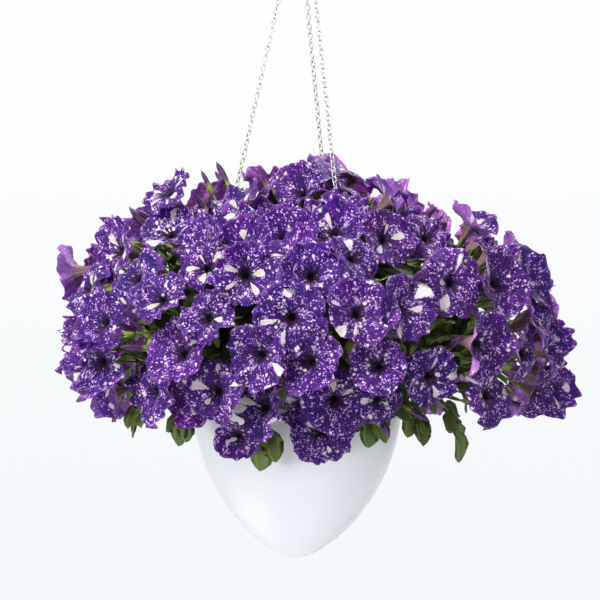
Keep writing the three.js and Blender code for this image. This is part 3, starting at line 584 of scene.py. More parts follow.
def make_speckle_group():
    """A petal's marks: its specks, blotches, dust, dark throat, veins and mottle, as masks."""
    tree = bpy.data.node_groups.new("petal speckles", "ShaderNodeTree")
    inputs = dict(Petal="Vector", Density="Float", Patch="Float", Lobe="Float")
    outputs = dict.fromkeys(("White", "Soft", "Dust", "Throat", "Veins", "Mottle"), "Float")
    for way, sockets in (("INPUT", inputs), ("OUTPUT", outputs)):
        for key, kind in sockets.items():
            tree.interface.new_socket(key, in_out=way, socket_type="NodeSocket" + kind)
    g = Graph(tree)
    given = g.node("NodeGroupInput", (), None)
    petal = given["Petal"]
    x, y, seed = g.parts(petal)
    flat = g.joined(x, y, 0.0)
    radius = g.vectors("LENGTH", flat, output="Value")
    ray = g.vectors("NORMALIZE", flat)
    ray_x, ray_y = g.parts(ray)[:2]
    warp = g.vectors("SUBTRACT", g.noise(petal, 4.0, 2.0, "Color"), (0.5, 0.5, 0.5))
    warped = g.vectors("ADD", petal, g.vectors("SCALE", warp, 0.3))
    length = g.times(g.maths("LOGARITHM", g.add(radius, 0.12), 2.718), 1.1)
    polar = g.joined(g.times(ray_x, 4.0), g.times(ray_y, 4.0), g.add(length, g.times(seed, 3.0)))
    polar = g.vectors("ADD", polar, g.vectors("SCALE", warp, 0.5))
    mottle = g.noise(petal, 1.0, 2.0)
    lift = g.add(g.swing(mottle, 3.4), given["Density"])

    def specks(vector, scale, bare, size, edge, pull):
        """Dots in random cells: bare is the share of cells without, pull the density's share."""
        cell = g.cells(vector, scale, None)
        limit = g.less(g.add(g.parts(cell["Color"])[0], g.times(lift, pull)), bare)
        limit = g.maths("MINIMUM", g.times(g.most(limit, 0.0), size), 0.5)
        return g.step(cell["Distance"], g.less(limit, edge), limit, 1.0, 0.0)

    dots = g.times(specks(warped, 4.4, 0.17, 0.72, 0.22, 0.5), g.step(radius, 0.6, 1.3))
    near = g.step(radius, 1.4, 2.8, 1.0, 0.0)
    streaks = g.times(specks(polar, 2.6, 0.2, 0.72, 0.2, 0.5), near)
    dabs = specks(warped, 2.3, 0.54, 0.95, 0.2, 0.45)
    blotches = g.most(specks(warped, 1.4, 0.7, 1.1, 0.1, 0.3), dabs)
    ragged = g.add(given["Patch"], g.swing(g.noise(petal, 5.0, 3.0), 1.5))
    rays = g.vectors("SCALE", ray, 4.5)
    ray_noise = g.noise(g.vectors("ADD", rays, g.joined(seed, 0.0, g.times(radius, 0.5))), 1.8, 2.0)
    throat = g.less(g.add(radius, g.swing(ray_noise, -2.3)), g.times(given["Lobe"], 0.2))
    marks = dict(
        White=g.most(blotches, g.step(ragged, 0.05, 0.3)),
        Soft=g.times(g.most(dots, g.times(streaks, 0.9)), 0.86),
        Dust=specks(warped, 6.8, -0.1, 0.6, 0.2, 0.3),
        Throat=g.step(throat, 0.4, 1.3, 1.0, 0.0),
        Veins=g.noise(g.vectors("ADD", rays, g.joined(0.0, seed, 0.0)), 5.0, 1.0),
        Mottle=mottle,
    )
    g.node("NodeGroupOutput", marks, None)
    return tree


speckles = make_speckle_group()


def petal_marks(g):
    """The marks of the petal that a material's graph is for."""
    inputs = dict(Petal=g.attribute("petal", "Vector"), Density=g.attribute("density"),
                  Patch=g.attribute("patch"), Lobe=g.attribute("lobe"))
    return g.node("Group", inputs, None, node_tree=speckles)


def make_petal_front():
    """The face of a petal: velvety violet, thick with white specks, nearly black in its throat."""
    g = Finish(
        "petal_front", Specular_IOR_Level=0.16, Subsurface_Weight=0.35, Subsurface_Scale=0.003,
        Subsurface_Radius=(0.8, 0.35, 1.0), Sheen_Weight=0.12, Sheen_Roughness=0.4,
        Sheen_Tint=rgb(206, 150, 240))
    marks, out, patch = petal_marks(g), g.attribute("out"), g.attribute("patch")
    violet = g.layered(
        g.blend(g.attribute("tone"), rgb(25, 5, 94), rgb(74, 9, 104)),
        (g.step(marks["Mottle"], 0.35, 0.75, 0.0, 0.5), rgb(50, 15, 122)),
        (g.step(marks["Veins"], 0.42, 0.6, 0.8, 0.0), rgb(20, 3, 48)),
        (g.times(marks["Dust"], 0.55), rgb(138, 62, 192)),
        (g.step(out, 0.88, 1.0, 0.0, 0.25), rgb(146, 90, 176)),
        (marks["Soft"], rgb(226, 180, 237)),
        (marks["Throat"], rgb(22, 5, 26)))
    cream = g.layered(
        g.blend(marks["Mottle"], rgb(216, 202, 222), rgb(214, 212, 192)),
        (g.step(marks["Veins"], 0.4, 0.62, 0.35, 0.0), rgb(150, 120, 160)),
        (g.times(g.step(patch, 0.3, 0.85, 0.0, 0.8), g.step(out, 0.3, 0.62, 1.0, 0.0)),
         rgb(176, 184, 104)))
    colour = g.blend(g.times(marks["White"], g.step(out, 0.13, 0.2)), violet, cream)
    grain = g.noise(g.attribute("petal", "Vector"), 26.0, 2.0)
    height = g.add(g.times(marks["Veins"], 0.6), g.times(grain, 0.25))
    return g.dressed(colour, (height, 0.002, 0.75), (grain, 0.52, 0.66))


def make_petal_back():
    """The back of a petal and the tube: paler lilac with veins, lightened further by painted light
    shining through from behind, brown-mauve towards the stalk.
    """
    g = Finish(
        "petal_back", Specular_IOR_Level=0.3, Subsurface_Weight=0.4, Subsurface_Scale=0.003,
        Subsurface_Radius=(0.8, 0.45, 0.9))
    marks = petal_marks(g)
    # painted light: the lilac is paler than the petals' own backs, standing in for light that
    # shines through them
    lilac_and_painted_glow = g.layered(
        g.blend(g.attribute("tone"), rgb(148, 100, 200), rgb(194, 120, 196)),
        (g.step(marks["Veins"], 0.4, 0.6, 0.6, 0.0), rgb(96, 46, 128)),
        (g.most(g.times(marks["Soft"], 0.5), g.times(marks["White"], 0.9)), rgb(226, 212, 232)))
    lines = g.step(marks["Veins"], 0.42, 0.62, 1.0, 0.0)
    tube = g.blend(lines, rgb(170, 142, 138), rgb(84, 40, 72))
    colour = g.blend(g.step(g.attribute("out"), 0.3, 0.46), tube, lilac_and_painted_glow)
    grain = g.noise(g.attribute("petal", "Vector"), 20.0, 2.0)
    height = g.add(marks["Veins"], g.times(grain, 0.3))
    return g.dressed(colour, (height, 0.0006, 0.6), (grain, 0.55, 0.7))


def make_bud_material():
    """A furled bud: dark violet folds, with painted shade darkest down in the furrows between them,
    that fade to brown-green at the calyx.
    """
    g = Finish("furled_bud", Roughness=0.5, Specular_IOR_Level=0.3)
    grain = g.noise(g.spot(), 500.0, 2.0)
    # painted shade: the colour darkens towards the bottom of each furrow, where the surface sinks
    # in
    violet = g.blend(g.step(g.attribute("furrow"), -0.8, 0.6), rgb(22, 6, 34), rgb(78, 34, 98))
    violet = g.blend(g.step(grain, 0.4, 0.7, 0.0, 0.4), violet, rgb(126, 84, 130))
    colour = g.blend(g.step(g.attribute("along"), 0.1, 0.6), rgb(86, 74, 50), violet)
    return g.dressed(colour, (grain, 0.0006, 0.6))


def make_leaf_material():
    """A soft, hairy leaf: mid green with a pale rib and side veins, and a painted sheen that
    lightens its edges.
    """
    g = Finish("leaf")
    across, along = g.parts(g.attribute("leaf", "Vector"))[:2]
    spot = g.spot()
    mottle = g.noise(spot, 60.0, 3.0)
    away = g.maths("ABSOLUTE", across)
    slant = g.less(g.times(along, 9.0), g.times(away, 2.2))
    wave = g.maths("ABSOLUTE", g.less(g.maths("FRACT", slant), 0.5))
    veins = g.times(g.step(wave, 0.0, 0.1, 1.0, 0.0), 0.55)
    lines = g.most(g.step(away, 0.03, 0.11, 1.0, 0.0), veins)
    green = g.layered(
        g.blend(g.attribute("tone"), rgb(44, 76, 16), rgb(142, 164, 62)),
        (g.step(mottle, 0.35, 0.7, 0.0, 0.6), rgb(74, 102, 32)),
        (g.times(lines, 0.5), rgb(146, 166, 92)),
        # painted sheen: the leaf's edges are lightened as the hairs would catch the light there
        (g.step(away, 0.85, 1.0, 0.0, 0.35), rgb(126, 140, 70)))
    down = g.add(g.times(lines, -1.0), g.times(g.noise(spot, 900.0, 1.0), 0.3))
    height = g.add(down, g.times(mottle, 1.2))
    return g.dressed(green, (height, 0.0006, 0.6), (mottle, 0.45, 0.62))


def make_stem_material():
    """Green stalks with fine down and a browner flush in places."""
    g = Finish("stem", Roughness=0.55)
    spot = g.spot()
    green = g.blend(g.attribute("tone"), rgb(62, 86, 30), rgb(128, 148, 78))
    flush = g.step(g.noise(spot, 45.0, 2.0), 0.5, 0.75, 0.0, 0.6)
    colour = g.blend(flush, green, rgb(98, 84, 52))
    return g.dressed(colour, (g.noise(spot, 1200.0, 1.0), 0.0004, 0.4))


def make_core_material():
    """The plants' dark inside: stems and shaded leaves behind the blooms."""
    g = Finish("shade", Roughness=0.9, Specular_IOR_Level=0.1)
    patches = g.cells(g.spot(), 70.0)
    colour = g.blend(g.step(patches, 0.2, 0.8), rgb(52, 66, 24), rgb(20, 27, 10))
    return g.dressed(colour, (patches, 0.006, 1.0))


def make_pot_material():
    """Moulded glossy white plastic with a faint flow in its surface and a few dusty specks."""
    g = Finish("glossy_white", IOR=1.5)
    spot = g.spot()
    drift = g.noise(spot, 14.0, 2.0)
    dust = g.times(g.step(g.cells(spot, 160.0), 0.04, 0.1, 1.0, 0.0),
                   g.step(g.noise(spot, 30.0, 1.0), 0.6, 0.7))
    colour = g.blend(g.step(drift, 0.35, 0.65), rgb(241, 241, 243), rgb(237, 238, 241))
    colour = g.blend(g.times(dust, 0.35), colour, rgb(176, 170, 160))
    return g.dressed(colour, (drift, 0.0008, 0.25), (drift, 0.14, 0.22))


def make_soil_material():
    """Dark damp peat with fibres in it."""
    g = Finish("peat", Roughness=0.9)
    spot = g.spot()
    fibre = g.noise(g.vectors("MULTIPLY", spot, (1.0, 4.0, 1.0)), 120.0, 4.0)
    colour = g.blend(fibre, rgb(28, 18, 12), rgb(82, 60, 42))
    crumbs = g.add(g.cells(spot, 260.0), g.times(fibre, 0.6))
    return g.dressed(colour, (crumbs, 0.003, 0.8))


def make_steel_material(name, bright, worn):
    """Zinc-plated wire: grey, faintly brushed, and worn duller in places."""
    g = Finish(name, Metallic=0.9)
    spot = g.spot()
    dull = g.noise(spot, 220.0, 3.0)
    colour = g.blend(g.step(dull, 0.35, 0.7), bright, worn)
    scratches = g.noise(g.vectors("MULTIPLY", spot, (1.0, 1.0, 0.1)), 2400.0, 1.0)
    return g.dressed(colour, (scratches, 0.0002, 0.3), (dull, 0.34, 0.56))


def make_floor_material():
    """A plain pale floor with the faintest mottle."""
    g = Finish("pale_floor", Roughness=0.7)
    return g.dressed(g.blend(g.noise(g.spot(), 1.5, 2.0), rgb(204, 207, 210), rgb(210, 213, 216)))


petal_front, petal_back, furled = make_petal_front(), make_petal_back(), make_bud_material()
leaf_green, stem_green, shade = make_leaf_material(), make_stem_material(), make_core_material()
glossy_white, peat = make_pot_material(), make_soil_material()
zinc = make_steel_material("zinc_wire", rgb(204, 203, 196), rgb(164, 163, 156))
dull_zinc = make_steel_material("hook_wire", rgb(150, 150, 147), rgb(112, 112, 109))

# ---- blooms -------------------------------------------------------------------------------------
BLOOM_COLUMNS = 70
EDGE_NOTCH, PETAL_THICKNESS = 0.88, 0.6
CREASE_DEPTH, CREASE_WIDTH = 0.9, 0.012  # millimetres, and radians squared
FRONT_STEPS = np.linspace(0, 1, 13) ** 0.92
BACK_STEPS = np.array([1.0, 0.86, 0.7, 0.53, 0.36, 0.22])
THROAT_MOUTH, FUNNEL_DEPTH, FUNNEL_WIDTH = 4.6, 14.0, 13.0
INNER_TUBE = [(1.6, -26.0), (2.6, -22.0), (3.3, -18.0), (3.9, -14.0)]  # radius and height
OUTER_TUBE = [(10.2, -9.6), (8.4, -12.8), (6.9, -16.0), (5.4, -23.0), (4.2, -31.0), (3.3, -39.0)]
TUBE_END = -26.5
WAVE_ORDERS, WAVE_HEIGHTS = [1, 2, 3, 7, 11, 16], [4.4, 5.2, 3.2, 2.0, 2.0, 1.4]
SCALLOP_ORDERS, SCALLOP_DEPTHS = [13, 23], [0.02, 0.014]
LOBE_PLAY = [0.045, 1.6]  # how much the lobes vary in length, and in millimetres up and down
PLEAT_HEIGHT, RUFFLE_GAIN = 2.0, 1.2
STAR_SHARE = 0.13  # of the blooms have their white patches in a star round the throat
PETAL_UNIT = 10.0  # millimetres to one unit of the petals' own coordinates


def bloom_traits(blooms):
    """Each bloom's own waves, tone, number of specks and white patches, from a seeded draw."""
    rng = np.random.default_rng(2207)
    n = len(blooms)
    t = stacked(blooms, "centre", "axis", "fork", "spin", "size")
    t["base"] = t["centre"] - t["axis"] * (BLOOM_LENGTH * t["size"])[:, None]
    t.update(
        wave=rng.normal(size=(n, 6)) * WAVE_HEIGHTS,
        pleat=rng.normal(size=n) * 1.6,
        phase=rng.uniform(0, TURN, size=(n, 6)),
        lobe=rng.normal(size=(n, LOBES, 2)) * LOBE_PLAY,
        curl=rng.uniform(-8.0, 7.0, size=n),
        scallop=rng.normal(size=(n, 2)) * SCALLOP_DEPTHS,
        tone=np.clip(rng.normal(0.46, 0.27, size=n), 0, 1),
        density=np.clip(rng.normal(0.05, 0.28, size=n), -0.5, 0.6),
        seed=np.arange(n) * 1.37 + rng.uniform(0, 1, size=n),
        patch_turn=rng.uniform(-0.55, 0.55, size=(n, LOBES)),
        patch_at=rng.uniform(0.3, 0.85, size=(n, LOBES)) ** 1.2,
        patch_wide=rng.uniform(0.12, 0.36, size=(n, LOBES)),
        patch_long=rng.uniform(0.12, 0.34, size=(n, LOBES)),
        patch_here=rng.uniform(size=(n, LOBES)) < rng.uniform(-0.1, 0.9, size=(n, 1)),
    )
    starred = rng.uniform(size=(n, 1)) < STAR_SHARE
    inner = rng.uniform(0.34, 0.5, size=(n, LOBES))
    star = dict(patch_at=inner, patch_long=inner * 0.55, patch_turn=t["patch_turn"] * 0.3)
    for key, value in star.items():
        t[key] = np.where(starred, value, t[key])
    t["patch_here"] |= starred & (rng.uniform(size=(n, LOBES)) < 0.3)
    return t


def ripples(orders, heights, phases, angle):
    """Waves round a turn, height cos(order a + phase), as (blooms, waves, angles)."""
    return heights[..., None] * np.cos(np.array(orders)[:, None] * angle + phases[..., None])


def bloom_surface(t):
    """Radius and height of each bloom's rows (blooms, rows, columns) in its own frame.

    At angle a from a lobe's middle and share s from the throat's mouth m to the edge, the face
    lies at radius m + (R(a) - m) s, where R(a) = r (0.88 + 0.12 |cos 2.5a|^0.45) with its lobes'
    play and scallops, and at height -14 exp(-(radius / 13)^1.3) + s^2 (slow waves + pleats)
    + 1.2 s^4 ruffles - curl s^3 - 0.9 sin(1.1 pi s) in the crease down each lobe's middle.
    """
    angle = ring_angles(BLOOM_COLUMNS)
    which = np.round(angle / TURN * LOBES).astype(int) % LOBES
    beside = np.abs(np.cos(LOBES * angle / 2))
    size = t["size"][:, None, None]
    scallops = ripples(SCALLOP_ORDERS, t["scallop"], t["phase"][:, :2], angle).sum(1)
    longer = (1 + t["lobe"][:, which, 0] * beside + scallops)[:, None]
    reach = BLOOM_RADIUS * size * (EDGE_NOTCH + (1 - EDGE_NOTCH) * beside ** 0.45) * longer
    mouth = THROAT_MOUTH * size
    waves = ripples(WAVE_ORDERS, t["wave"], t["phase"], angle)
    pleats = (t["lobe"][:, which, 1] * beside - PLEAT_HEIGHT * np.cos(LOBES * angle)
              + t["pleat"][:, None] * np.sin(LOBES * angle))
    slow = (waves[:, :3].sum(1) + pleats)[:, None]
    ruffles = RUFFLE_GAIN * waves[:, 3:].sum(1)[:, None]
    off_middle = (angle + TURN / LOBES / 2) % (TURN / LOBES) - TURN / LOBES / 2
    crease = CREASE_DEPTH * size * np.exp(-off_middle ** 2 / CREASE_WIDTH)

    def limb(share):
        """Radius and height on the face at shares from the mouth to the edge."""
        s = share[:, None]
        radius = mouth + (reach - mouth) * s
        height = -FUNNEL_DEPTH * size * np.exp(-(radius / (FUNNEL_WIDTH * size)) ** 1.3)
        height = height + s ** 2 * slow + s ** 4 * ruffles - s ** 3 * t["curl"][:, None, None]
        return radius, height - crease * np.sin(np.pi * np.clip(1.1 * s, 0, 1))

    def tube(profile):
        """Radius and height of a round tube, a little fluted."""
        radius, height = (np.array(column)[:, None] * size for column in zip(*profile))
        fluted = 1 + 0.05 * np.cos(LOBES * angle)
        return radius * fluted, height + 0 * fluted

    front, back = limb(FRONT_STEPS), limb(BACK_STEPS)
    rim = (front[0][:, -1:] + PETAL_THICKNESS / 2, front[1][:, -1:] - PETAL_THICKNESS / 2)
    under = (back[0], back[1] - PETAL_THICKNESS)
    rows = [tube(INNER_TUBE), front, rim, under, tube(OUTER_TUBE)]
    return (np.concatenate(column, 1) for column in zip(*rows))


def white_patches(t, angle, out):
    """How deep in a white patch each point is: 1 - (off / wide)^2 - (along / long)^2."""
    patch = np.full(out.shape, -1.0)
    keys = ("patch_turn", "patch_at", "patch_wide", "patch_long", "patch_here")
    for k in range(LOBES):
        turn, at, wide, long_, here = (t[key][:, k, None, None] for key in keys)
        off = (angle - TURN * k / LOBES - turn + np.pi) % TURN - np.pi
        along = (out - at) / long_
        taper = 0.8 + 0.35 * np.clip(along, -1, 1)
        patch = np.maximum(patch, np.where(here, 1 - (off / wide / taper) ** 2 - along ** 2, -1.0))
    return patch


def bloom_parts(t):
    """Every bloom's corolla as one closed body each, with the values its materials read."""
    radius, height = bloom_surface(t)
    angle = ring_angles(BLOOM_COLUMNS)
    rows = radius.shape[1]
    centre, axis, size, seed = (t[key][:, None, None] for key in ("centre", "axis", "size", "seed"))
    side, up = (way[:, None, None] for way in face_axes(t["axis"]))
    points = centre + around(radius, angle + t["spin"][:, None, None], side, up)
    points = points + height[..., None] * axis
    start, end = (t["centre"] + t["axis"] * size[:, 0] * z for z in (TUBE_END, -BLOOM_LENGTH - 1))
    flat = radius / PETAL_UNIT
    petal = np.stack([flat * np.cos(angle), flat * np.sin(angle), seed + 0 * radius], -1)
    closing = np.stack([0 * t["seed"], 0 * t["seed"], t["seed"]], -1)
    out = radius / (BLOOM_RADIUS * size)
    faces_in_row = np.array([1, *[2] * (rows - 1), 1]) * BLOOM_COLUMNS
    row = np.repeat(np.arange(-1, rows), faces_in_row)
    return loft(
        points, start, end, (row >= len(INNER_TUBE) + len(FRONT_STEPS)).astype(int),
        petal=(petal, closing, closing), out=(out, 0.02, 0.05),
        patch=(white_patches(t, angle, out), -1.0, -1.0),
        lobe=(np.cos(LOBES * angle) + 0 * radius, 0.0, 0.0),
        tone=t["tone"][:, None], density=t["density"][:, None])


def part_of(part, rows):
    """The bodies with these row numbers, out of a part with many bodies."""
    values = {key: value[rows] for key, value in part["values"].items()}
    return dict(part, points=part["points"][rows], values=values)


# ---- leaves and stalks --------------------------------------------------------------------------
LEAF_STATIONS = np.array([0.0, 0.14, 0.34, 0.56, 0.78, 0.93])  # shares of the length
LEAF_WIDTHS = np.array([0.035, 0.12, 0.4, 0.52, 0.42, 0.2])  # half widths there, as shares too
LEAF_RING = np.array([(1, 0), (0.5, 1), (0, 1), (-0.5, 1), (-1, 0), (-0.5, -1), (0, -1), (0.5, -1)])
LEAF_HALF_THICKNESS, SEPAL_FOLD = 0.3, 0.25
LEAF_RISE = 0.8  # leaves rise by this share of their place's rise, and some play
SMALL_LEAVES, SMALL_LEAF_ROOM, SMALL_LEAF_LENGTHS = 420, 6, (26, 46)
SEPAL_LENGTH, BUD_SEPAL_LENGTH = 17, 15
STIGMA = [(26, 0.6), (22, 0.5), (19, 0.5), (17, 0.8), (15.5, 0.6)]  # depth and radius
STALK_RADIUS, STALK_KNEE, BUD_STALK_RADIUS, SHOOT_RADIUS = 1.25, 14, 1.2, 1.7
BUD_TRIES, BUD_RADIUS, BUD_LENGTH, BUD_ROOM = 460, 4.6, 36, 5  # the radius is at this length
BUD_REACHES, BUD_LENGTHS = (54, 76), (30, 46)
BUD_START, BUD_KNEE = CORE_SCALE - 0.02, 0.8  # where its stalk starts and bends, in the mound
BUD_ROWS, BUD_COLUMNS, FOLDS, FOLD_DEPTH = 14, 20, 5, 0.16


def leaves(foot, along, facing, length, width, fold, droop, tone):
    """Closed blades: half width from the table above, edges lifted by fold, tip let down by droop.

    At share v of the length l and u of the half width w(v), the blade lies at
    foot + v l (1 - droop v / 4) ahead + u w(v) side + (fold |u| w(v) - droop v^2 l + waves) up.
    """
    n = len(foot)
    ahead = unit(along)
    side = unit(np.cross(ahead, facing))
    up = np.cross(side, ahead)
    length, width, fold, droop, tone = (
        np.broadcast_to(value, n)[:, None, None] for value in (length, width, fold, droop, tone))
    v, half = LEAF_STATIONS[:, None], LEAF_WIDTHS[:, None] * width * length
    u, face = LEAF_RING.T
    wave = 0.04 * length * np.sin(9 * v + 3 * u + np.arange(n)[:, None, None]) * np.abs(u)
    lift = fold * np.abs(u) * half - droop * v ** 2 * length + wave + LEAF_HALF_THICKNESS * face
    forward = v * length * (1 - 0.25 * droop * v)
    points = (foot[:, None, None] + forward[..., None] * ahead[:, None, None]
              + (u * half)[..., None] * side[:, None, None] + lift[..., None] * up[:, None, None])
    tip = foot + (length * (1 - 0.25 * droop))[:, 0] * ahead - (droop * length)[:, 0] * up
    plane = np.stack(np.broadcast_arrays(u, v, np.zeros((n, 1, 1))), -1)
    outwards = points[:, :, ::-1]  # the rings run backwards, so that the faces point outwards
    return loft(outwards, foot - ahead * 0.5, tip, tone=tone[:, 0],
                leaf=(plane, np.zeros(3), np.array([0, 1.0, 0])))


def sepals(foot, ahead, first, off, leans, length, width, droop, tone):
    """Five narrow leaves round a calyx, each leaning out from the way that it points."""
    side, up = face_axes(ahead)
    made = []
    for k, lean in enumerate(leans):
        out = around(1.0, TURN * (k + first) / 5, side, up)
        along = ahead + out * lean
        made.append(
            leaves(foot + out * off, along, -out, length, width, SEPAL_FOLD, droop, tone))
    return made


def strikes(foot, tip, t, room):
    """Whether each leaf's rib would go through a bloom's face or pass too near a tube or stalk."""
    low, high = (np.einsum("lbi,bi->lb", end[:, None] - t["centre"], t["axis"])
                 for end in (foot, tip))
    share = low / np.where(low == high, 1, low - high)
    crossing = foot[:, None] + (tip - foot)[:, None] * share[..., None]
    hit = (low * high < 0) & (np.linalg.norm(crossing - t["centre"], axis=-1) < BLOOM_RADIUS)

    def near(point, start, end):
        """How far each point lies from each straight stretch."""
        line = end - start
        along = np.einsum("lbi,bi->lb", point[:, None] - start, line) / np.sum(line * line, -1)
        closest = start + np.clip(along, 0, 1)[..., None] * line
        return np.linalg.norm(closest - point[:, None], axis=-1)

    for part in (0.3, 0.5, 0.7, 0.9):
        point = foot + (tip - foot) * part
        hit |= near(point, t["centre"], t["base"]) < room + TUBE_ROOM
        hit |= near(point, t["base"], t["fork"]) < room
    return hit.any(1)


def clears(foot, along, length, t, room):
    """Whether one leaf clears every bloom and stalk."""
    return not strikes(foot[None], (foot + along * length)[None], t, room)[0]


def shoot_leaves(t):
    """The leafy shoots under the blooms, by the part's own rule: stems, then leaves' rows."""
    draw = drawer(7331)
    stems, rows = [], []
    one = SHOOT_LEAF
    for turn, reach, height in SHOOTS:
        turn = np.radians(turn)
        level = bearing(turn, 0.0)
        first = level * SHOOT_ROOT[0] + [0, 0, SHOOT_ROOT[1]]
        knee = level * reach + [0, 0, SHOOT_KNEE]
        tip = level * (reach + SHOOT_TIP) + [0, 0, height]
        stems.append(bezier(first, knee, tip, np.linspace(0, 1, 9)))
        for k, (fan, dip) in enumerate(SHOOT_FANS):
            share = one["first"] + one["span"] * k / (len(SHOOT_FANS) - 1)
            foot = bezier(first, knee, tip, share)
            along = bearing(turn + fan + one["round"] * (draw() - 0.5), dip - one["up"] * draw())
            length = one["length"] + one["spread"] * draw()
            if clears(foot, along, length, t, one["room"]):
                rows.append((foot, along, bearing(0.6 * turn, 0.7), length))
    return np.array(stems), rows


def inner_leaves(t):
    """The leaves that stand out of the plants' core and show between the blooms."""
    draw = drawer(52361)
    rows = []
    one = INNER_LEAF
    for k, rise in enumerate(even_rises(INNER_LEAVES)):
        turn = k * GOLDEN_ANGLE + one["start"]
        foot = mound_point(turn, rise, CORE_SCALE - one["sunk"])
        along = bearing(turn + one["round"] * (draw() - 0.5),
                        LEAF_RISE * rise + one["up"] * (draw() - 0.4))
        length = one["length"] + one["spread"] * draw()
        if clears(foot, along, length, t, one["room"]):
            rows.append((foot, along, bearing(turn, rise * 0.5 + 1.2), length))
    return rows


def small_leaves(t, seed, scale, stretch):
    """Many smaller leaves standing between the blooms, kept where they clear faces and tubes."""
    rng = np.random.default_rng(seed)
    n = SMALL_LEAVES
    rises = even_rises(n) + rng.normal(0, 0.03, n)
    turn = np.arange(n) * GOLDEN_ANGLE * 1.7 + rng.uniform(0, 0.5, n)
    foot = mound_point(turn, rises, scale)
    along = bearing(turn + rng.normal(0, 0.5, n), LEAF_RISE * rises + rng.normal(0.1, 0.45, n))
    length = rng.uniform(*SMALL_LEAF_LENGTHS, n) * stretch
    facing = bearing(turn + rng.normal(0, 0.3, n), 0.5 * rises + 1.1)
    keep = ~strikes(foot, foot + along * length[:, None], t, SMALL_LEAF_ROOM)
    return list(zip(foot[keep], along[keep], facing[keep], length[keep]))


def leaf_part(rows, seed, wide=0.5, tone=(0.35, 0.2)):
    """Leaves from rows of foot, direction, facing and length, each a little its own shape."""
    foot, along, facing, length = (np.array(column) for column in zip(*rows))
    rng = np.random.default_rng(seed)
    n = len(foot)
    return leaves(foot, along, facing, length, wide * rng.uniform(0.85, 1.15, n),
                  rng.uniform(0.05, 0.4, n), rng.uniform(-0.05, 0.4, n),
                  np.clip(rng.normal(*tone, n), 0, 1))


def stalk_parts(t, rows):
    """The green stalks, stigmas and calyxes that belong to some of the blooms."""
    keys = ("centre", "base", "axis", "fork", "size")
    centre, base, axis, fork, size = (t[key][rows] for key in keys)
    knee = base - axis * STALK_KNEE
    path = bezier(base[:, None], knee[:, None], fork[:, None], np.linspace(0, 1, 8))
    depth, radius = np.array(STIGMA).T
    stigma = centre[:, None] - axis[:, None] * (size[:, None] * depth)[..., None]
    leans = [0.28 + 0.2 * np.sin(3 * k + base[:, :1]) for k in range(5)]
    return [tubes(path, STALK_RADIUS, 8, 1, tone=0.35), tubes(stigma, radius, 7, 1),
            *sepals(base - axis * 0.5, axis, 0.5, 1.6, leans, SEPAL_LENGTH * size,
                    0.32, -0.3, 0.75)]


def bud_parts(t):
    """Furled buds between the blooms: pleated bodies, then their stalks and sepals.

    At share v of its length and angle a, a bud's radius is R w(v) (1 + 0.16 cos(5a + 5v)) with
    w = (0.42 + 0.58 v^1.2) (1 - v^4)^0.8: it swells slowly from the calyx and draws to a point.
    """
    rng = np.random.default_rng(808)
    n = BUD_TRIES
    rises = even_rises(n)
    turn = np.arange(n) * GOLDEN_ANGLE + rng.uniform(0, 0.4, n)
    foot = mound_point(turn, rises, BUD_KNEE)
    ahead = bearing(turn + rng.normal(0, 0.3, n), 0.7 * rises + rng.normal(0.25, 0.25, n))
    reach, length = rng.uniform(*BUD_REACHES, (n, 1)), rng.uniform(*BUD_LENGTHS, (n, 1))
    keep = ~strikes(foot, foot + ahead * (reach + 6), t, BUD_ROOM)
    low = mound_point(turn, rises, BUD_START)
    foot, ahead, reach, length, low = (each[keep] for each in (foot, ahead, reach, length, low))
    tip = foot + ahead * reach
    base = tip - ahead * length
    side, up = (way[:, None, None] for way in face_axes(ahead))
    v, angle = np.linspace(0, 0.98, BUD_ROWS)[:, None], ring_angles(BUD_COLUMNS)
    furrow = np.cos(FOLDS * (angle + v))
    swell = (0.42 + 0.58 * v ** 1.2) * (1 - v ** 4) ** 0.8
    radius = BUD_RADIUS * swell * (1 + FOLD_DEPTH * furrow) * (length / BUD_LENGTH)[..., None]
    rings = base[:, None, None] + (v * length[..., None])[..., None] * ahead[:, None, None]
    bodies = loft(rings + around(radius, angle, side, up), base - ahead * 0.5, tip + ahead,
                  along=(v + 0 * radius, 0.0, 1.0), furrow=(furrow + 0 * radius, 0.0, 0.0))
    path = bezier(low[:, None], foot[:, None], base[:, None], np.linspace(0, 1, 6))
    calyxes = sepals(base, ahead, 0.3, 1.0, [0.34] * 5, BUD_SEPAL_LENGTH, 0.3, -0.2, 0.85)
    return bodies, [tubes(path, BUD_STALK_RADIUS, 8, 1), *calyxes]


def core_part():
    """The dark inside of the plants: the mound at part of its size, lumpy as leaves are.

    At a turn t and rise r its lumps are 1 + 0.03 sin(9t + 5r) cos(13r - 4t).
    """
    rises = np.linspace(-np.pi / 2 * 0.98, np.pi / 2 * 0.98, 40)[:, None]
    turns = ring_angles(72)[None]
    lumps = 1 + 0.03 * np.sin(9 * turns + 5 * rises) * np.cos(13 * rises - 4 * turns)
    middle = np.array([MOUND["shift"], 0, MOUND["middle"]])
    rings = middle + (mound_point(turns, rises) - middle) * (CORE_SCALE * lumps)[..., None]
    rings[..., 2] = np.maximum(rings[..., 2], CORE_FLOOR + 1.0)
    bottom = np.array([MOUND["shift"], 0, CORE_FLOOR + 1.0])
    return loft(rings[None], bottom, mound_point(0.0, np.pi / 2, CORE_SCALE))


# ---- the plants ---------------------------------------------------------------------------------
sprays = gather_sprays(place_blooms())
traits = bloom_traits([bloom for spray in sprays for bloom in spray])
corollas = bloom_parts(traits)
first = 0
for number, spray in enumerate(sprays, start=1):
    rows = np.arange(first, first + len(spray))
    first += len(spray)
    make_piece(f"blooms_{number:02d}", [part_of(corollas, rows)], [petal_front, petal_back],
               "petal_violet", f"spray_{number:02d}")
    make_piece(f"stalks_{number:02d}", stalk_parts(traits, rows), [leaf_green, stem_green],
               "leaf_green", f"spray_{number:02d}")

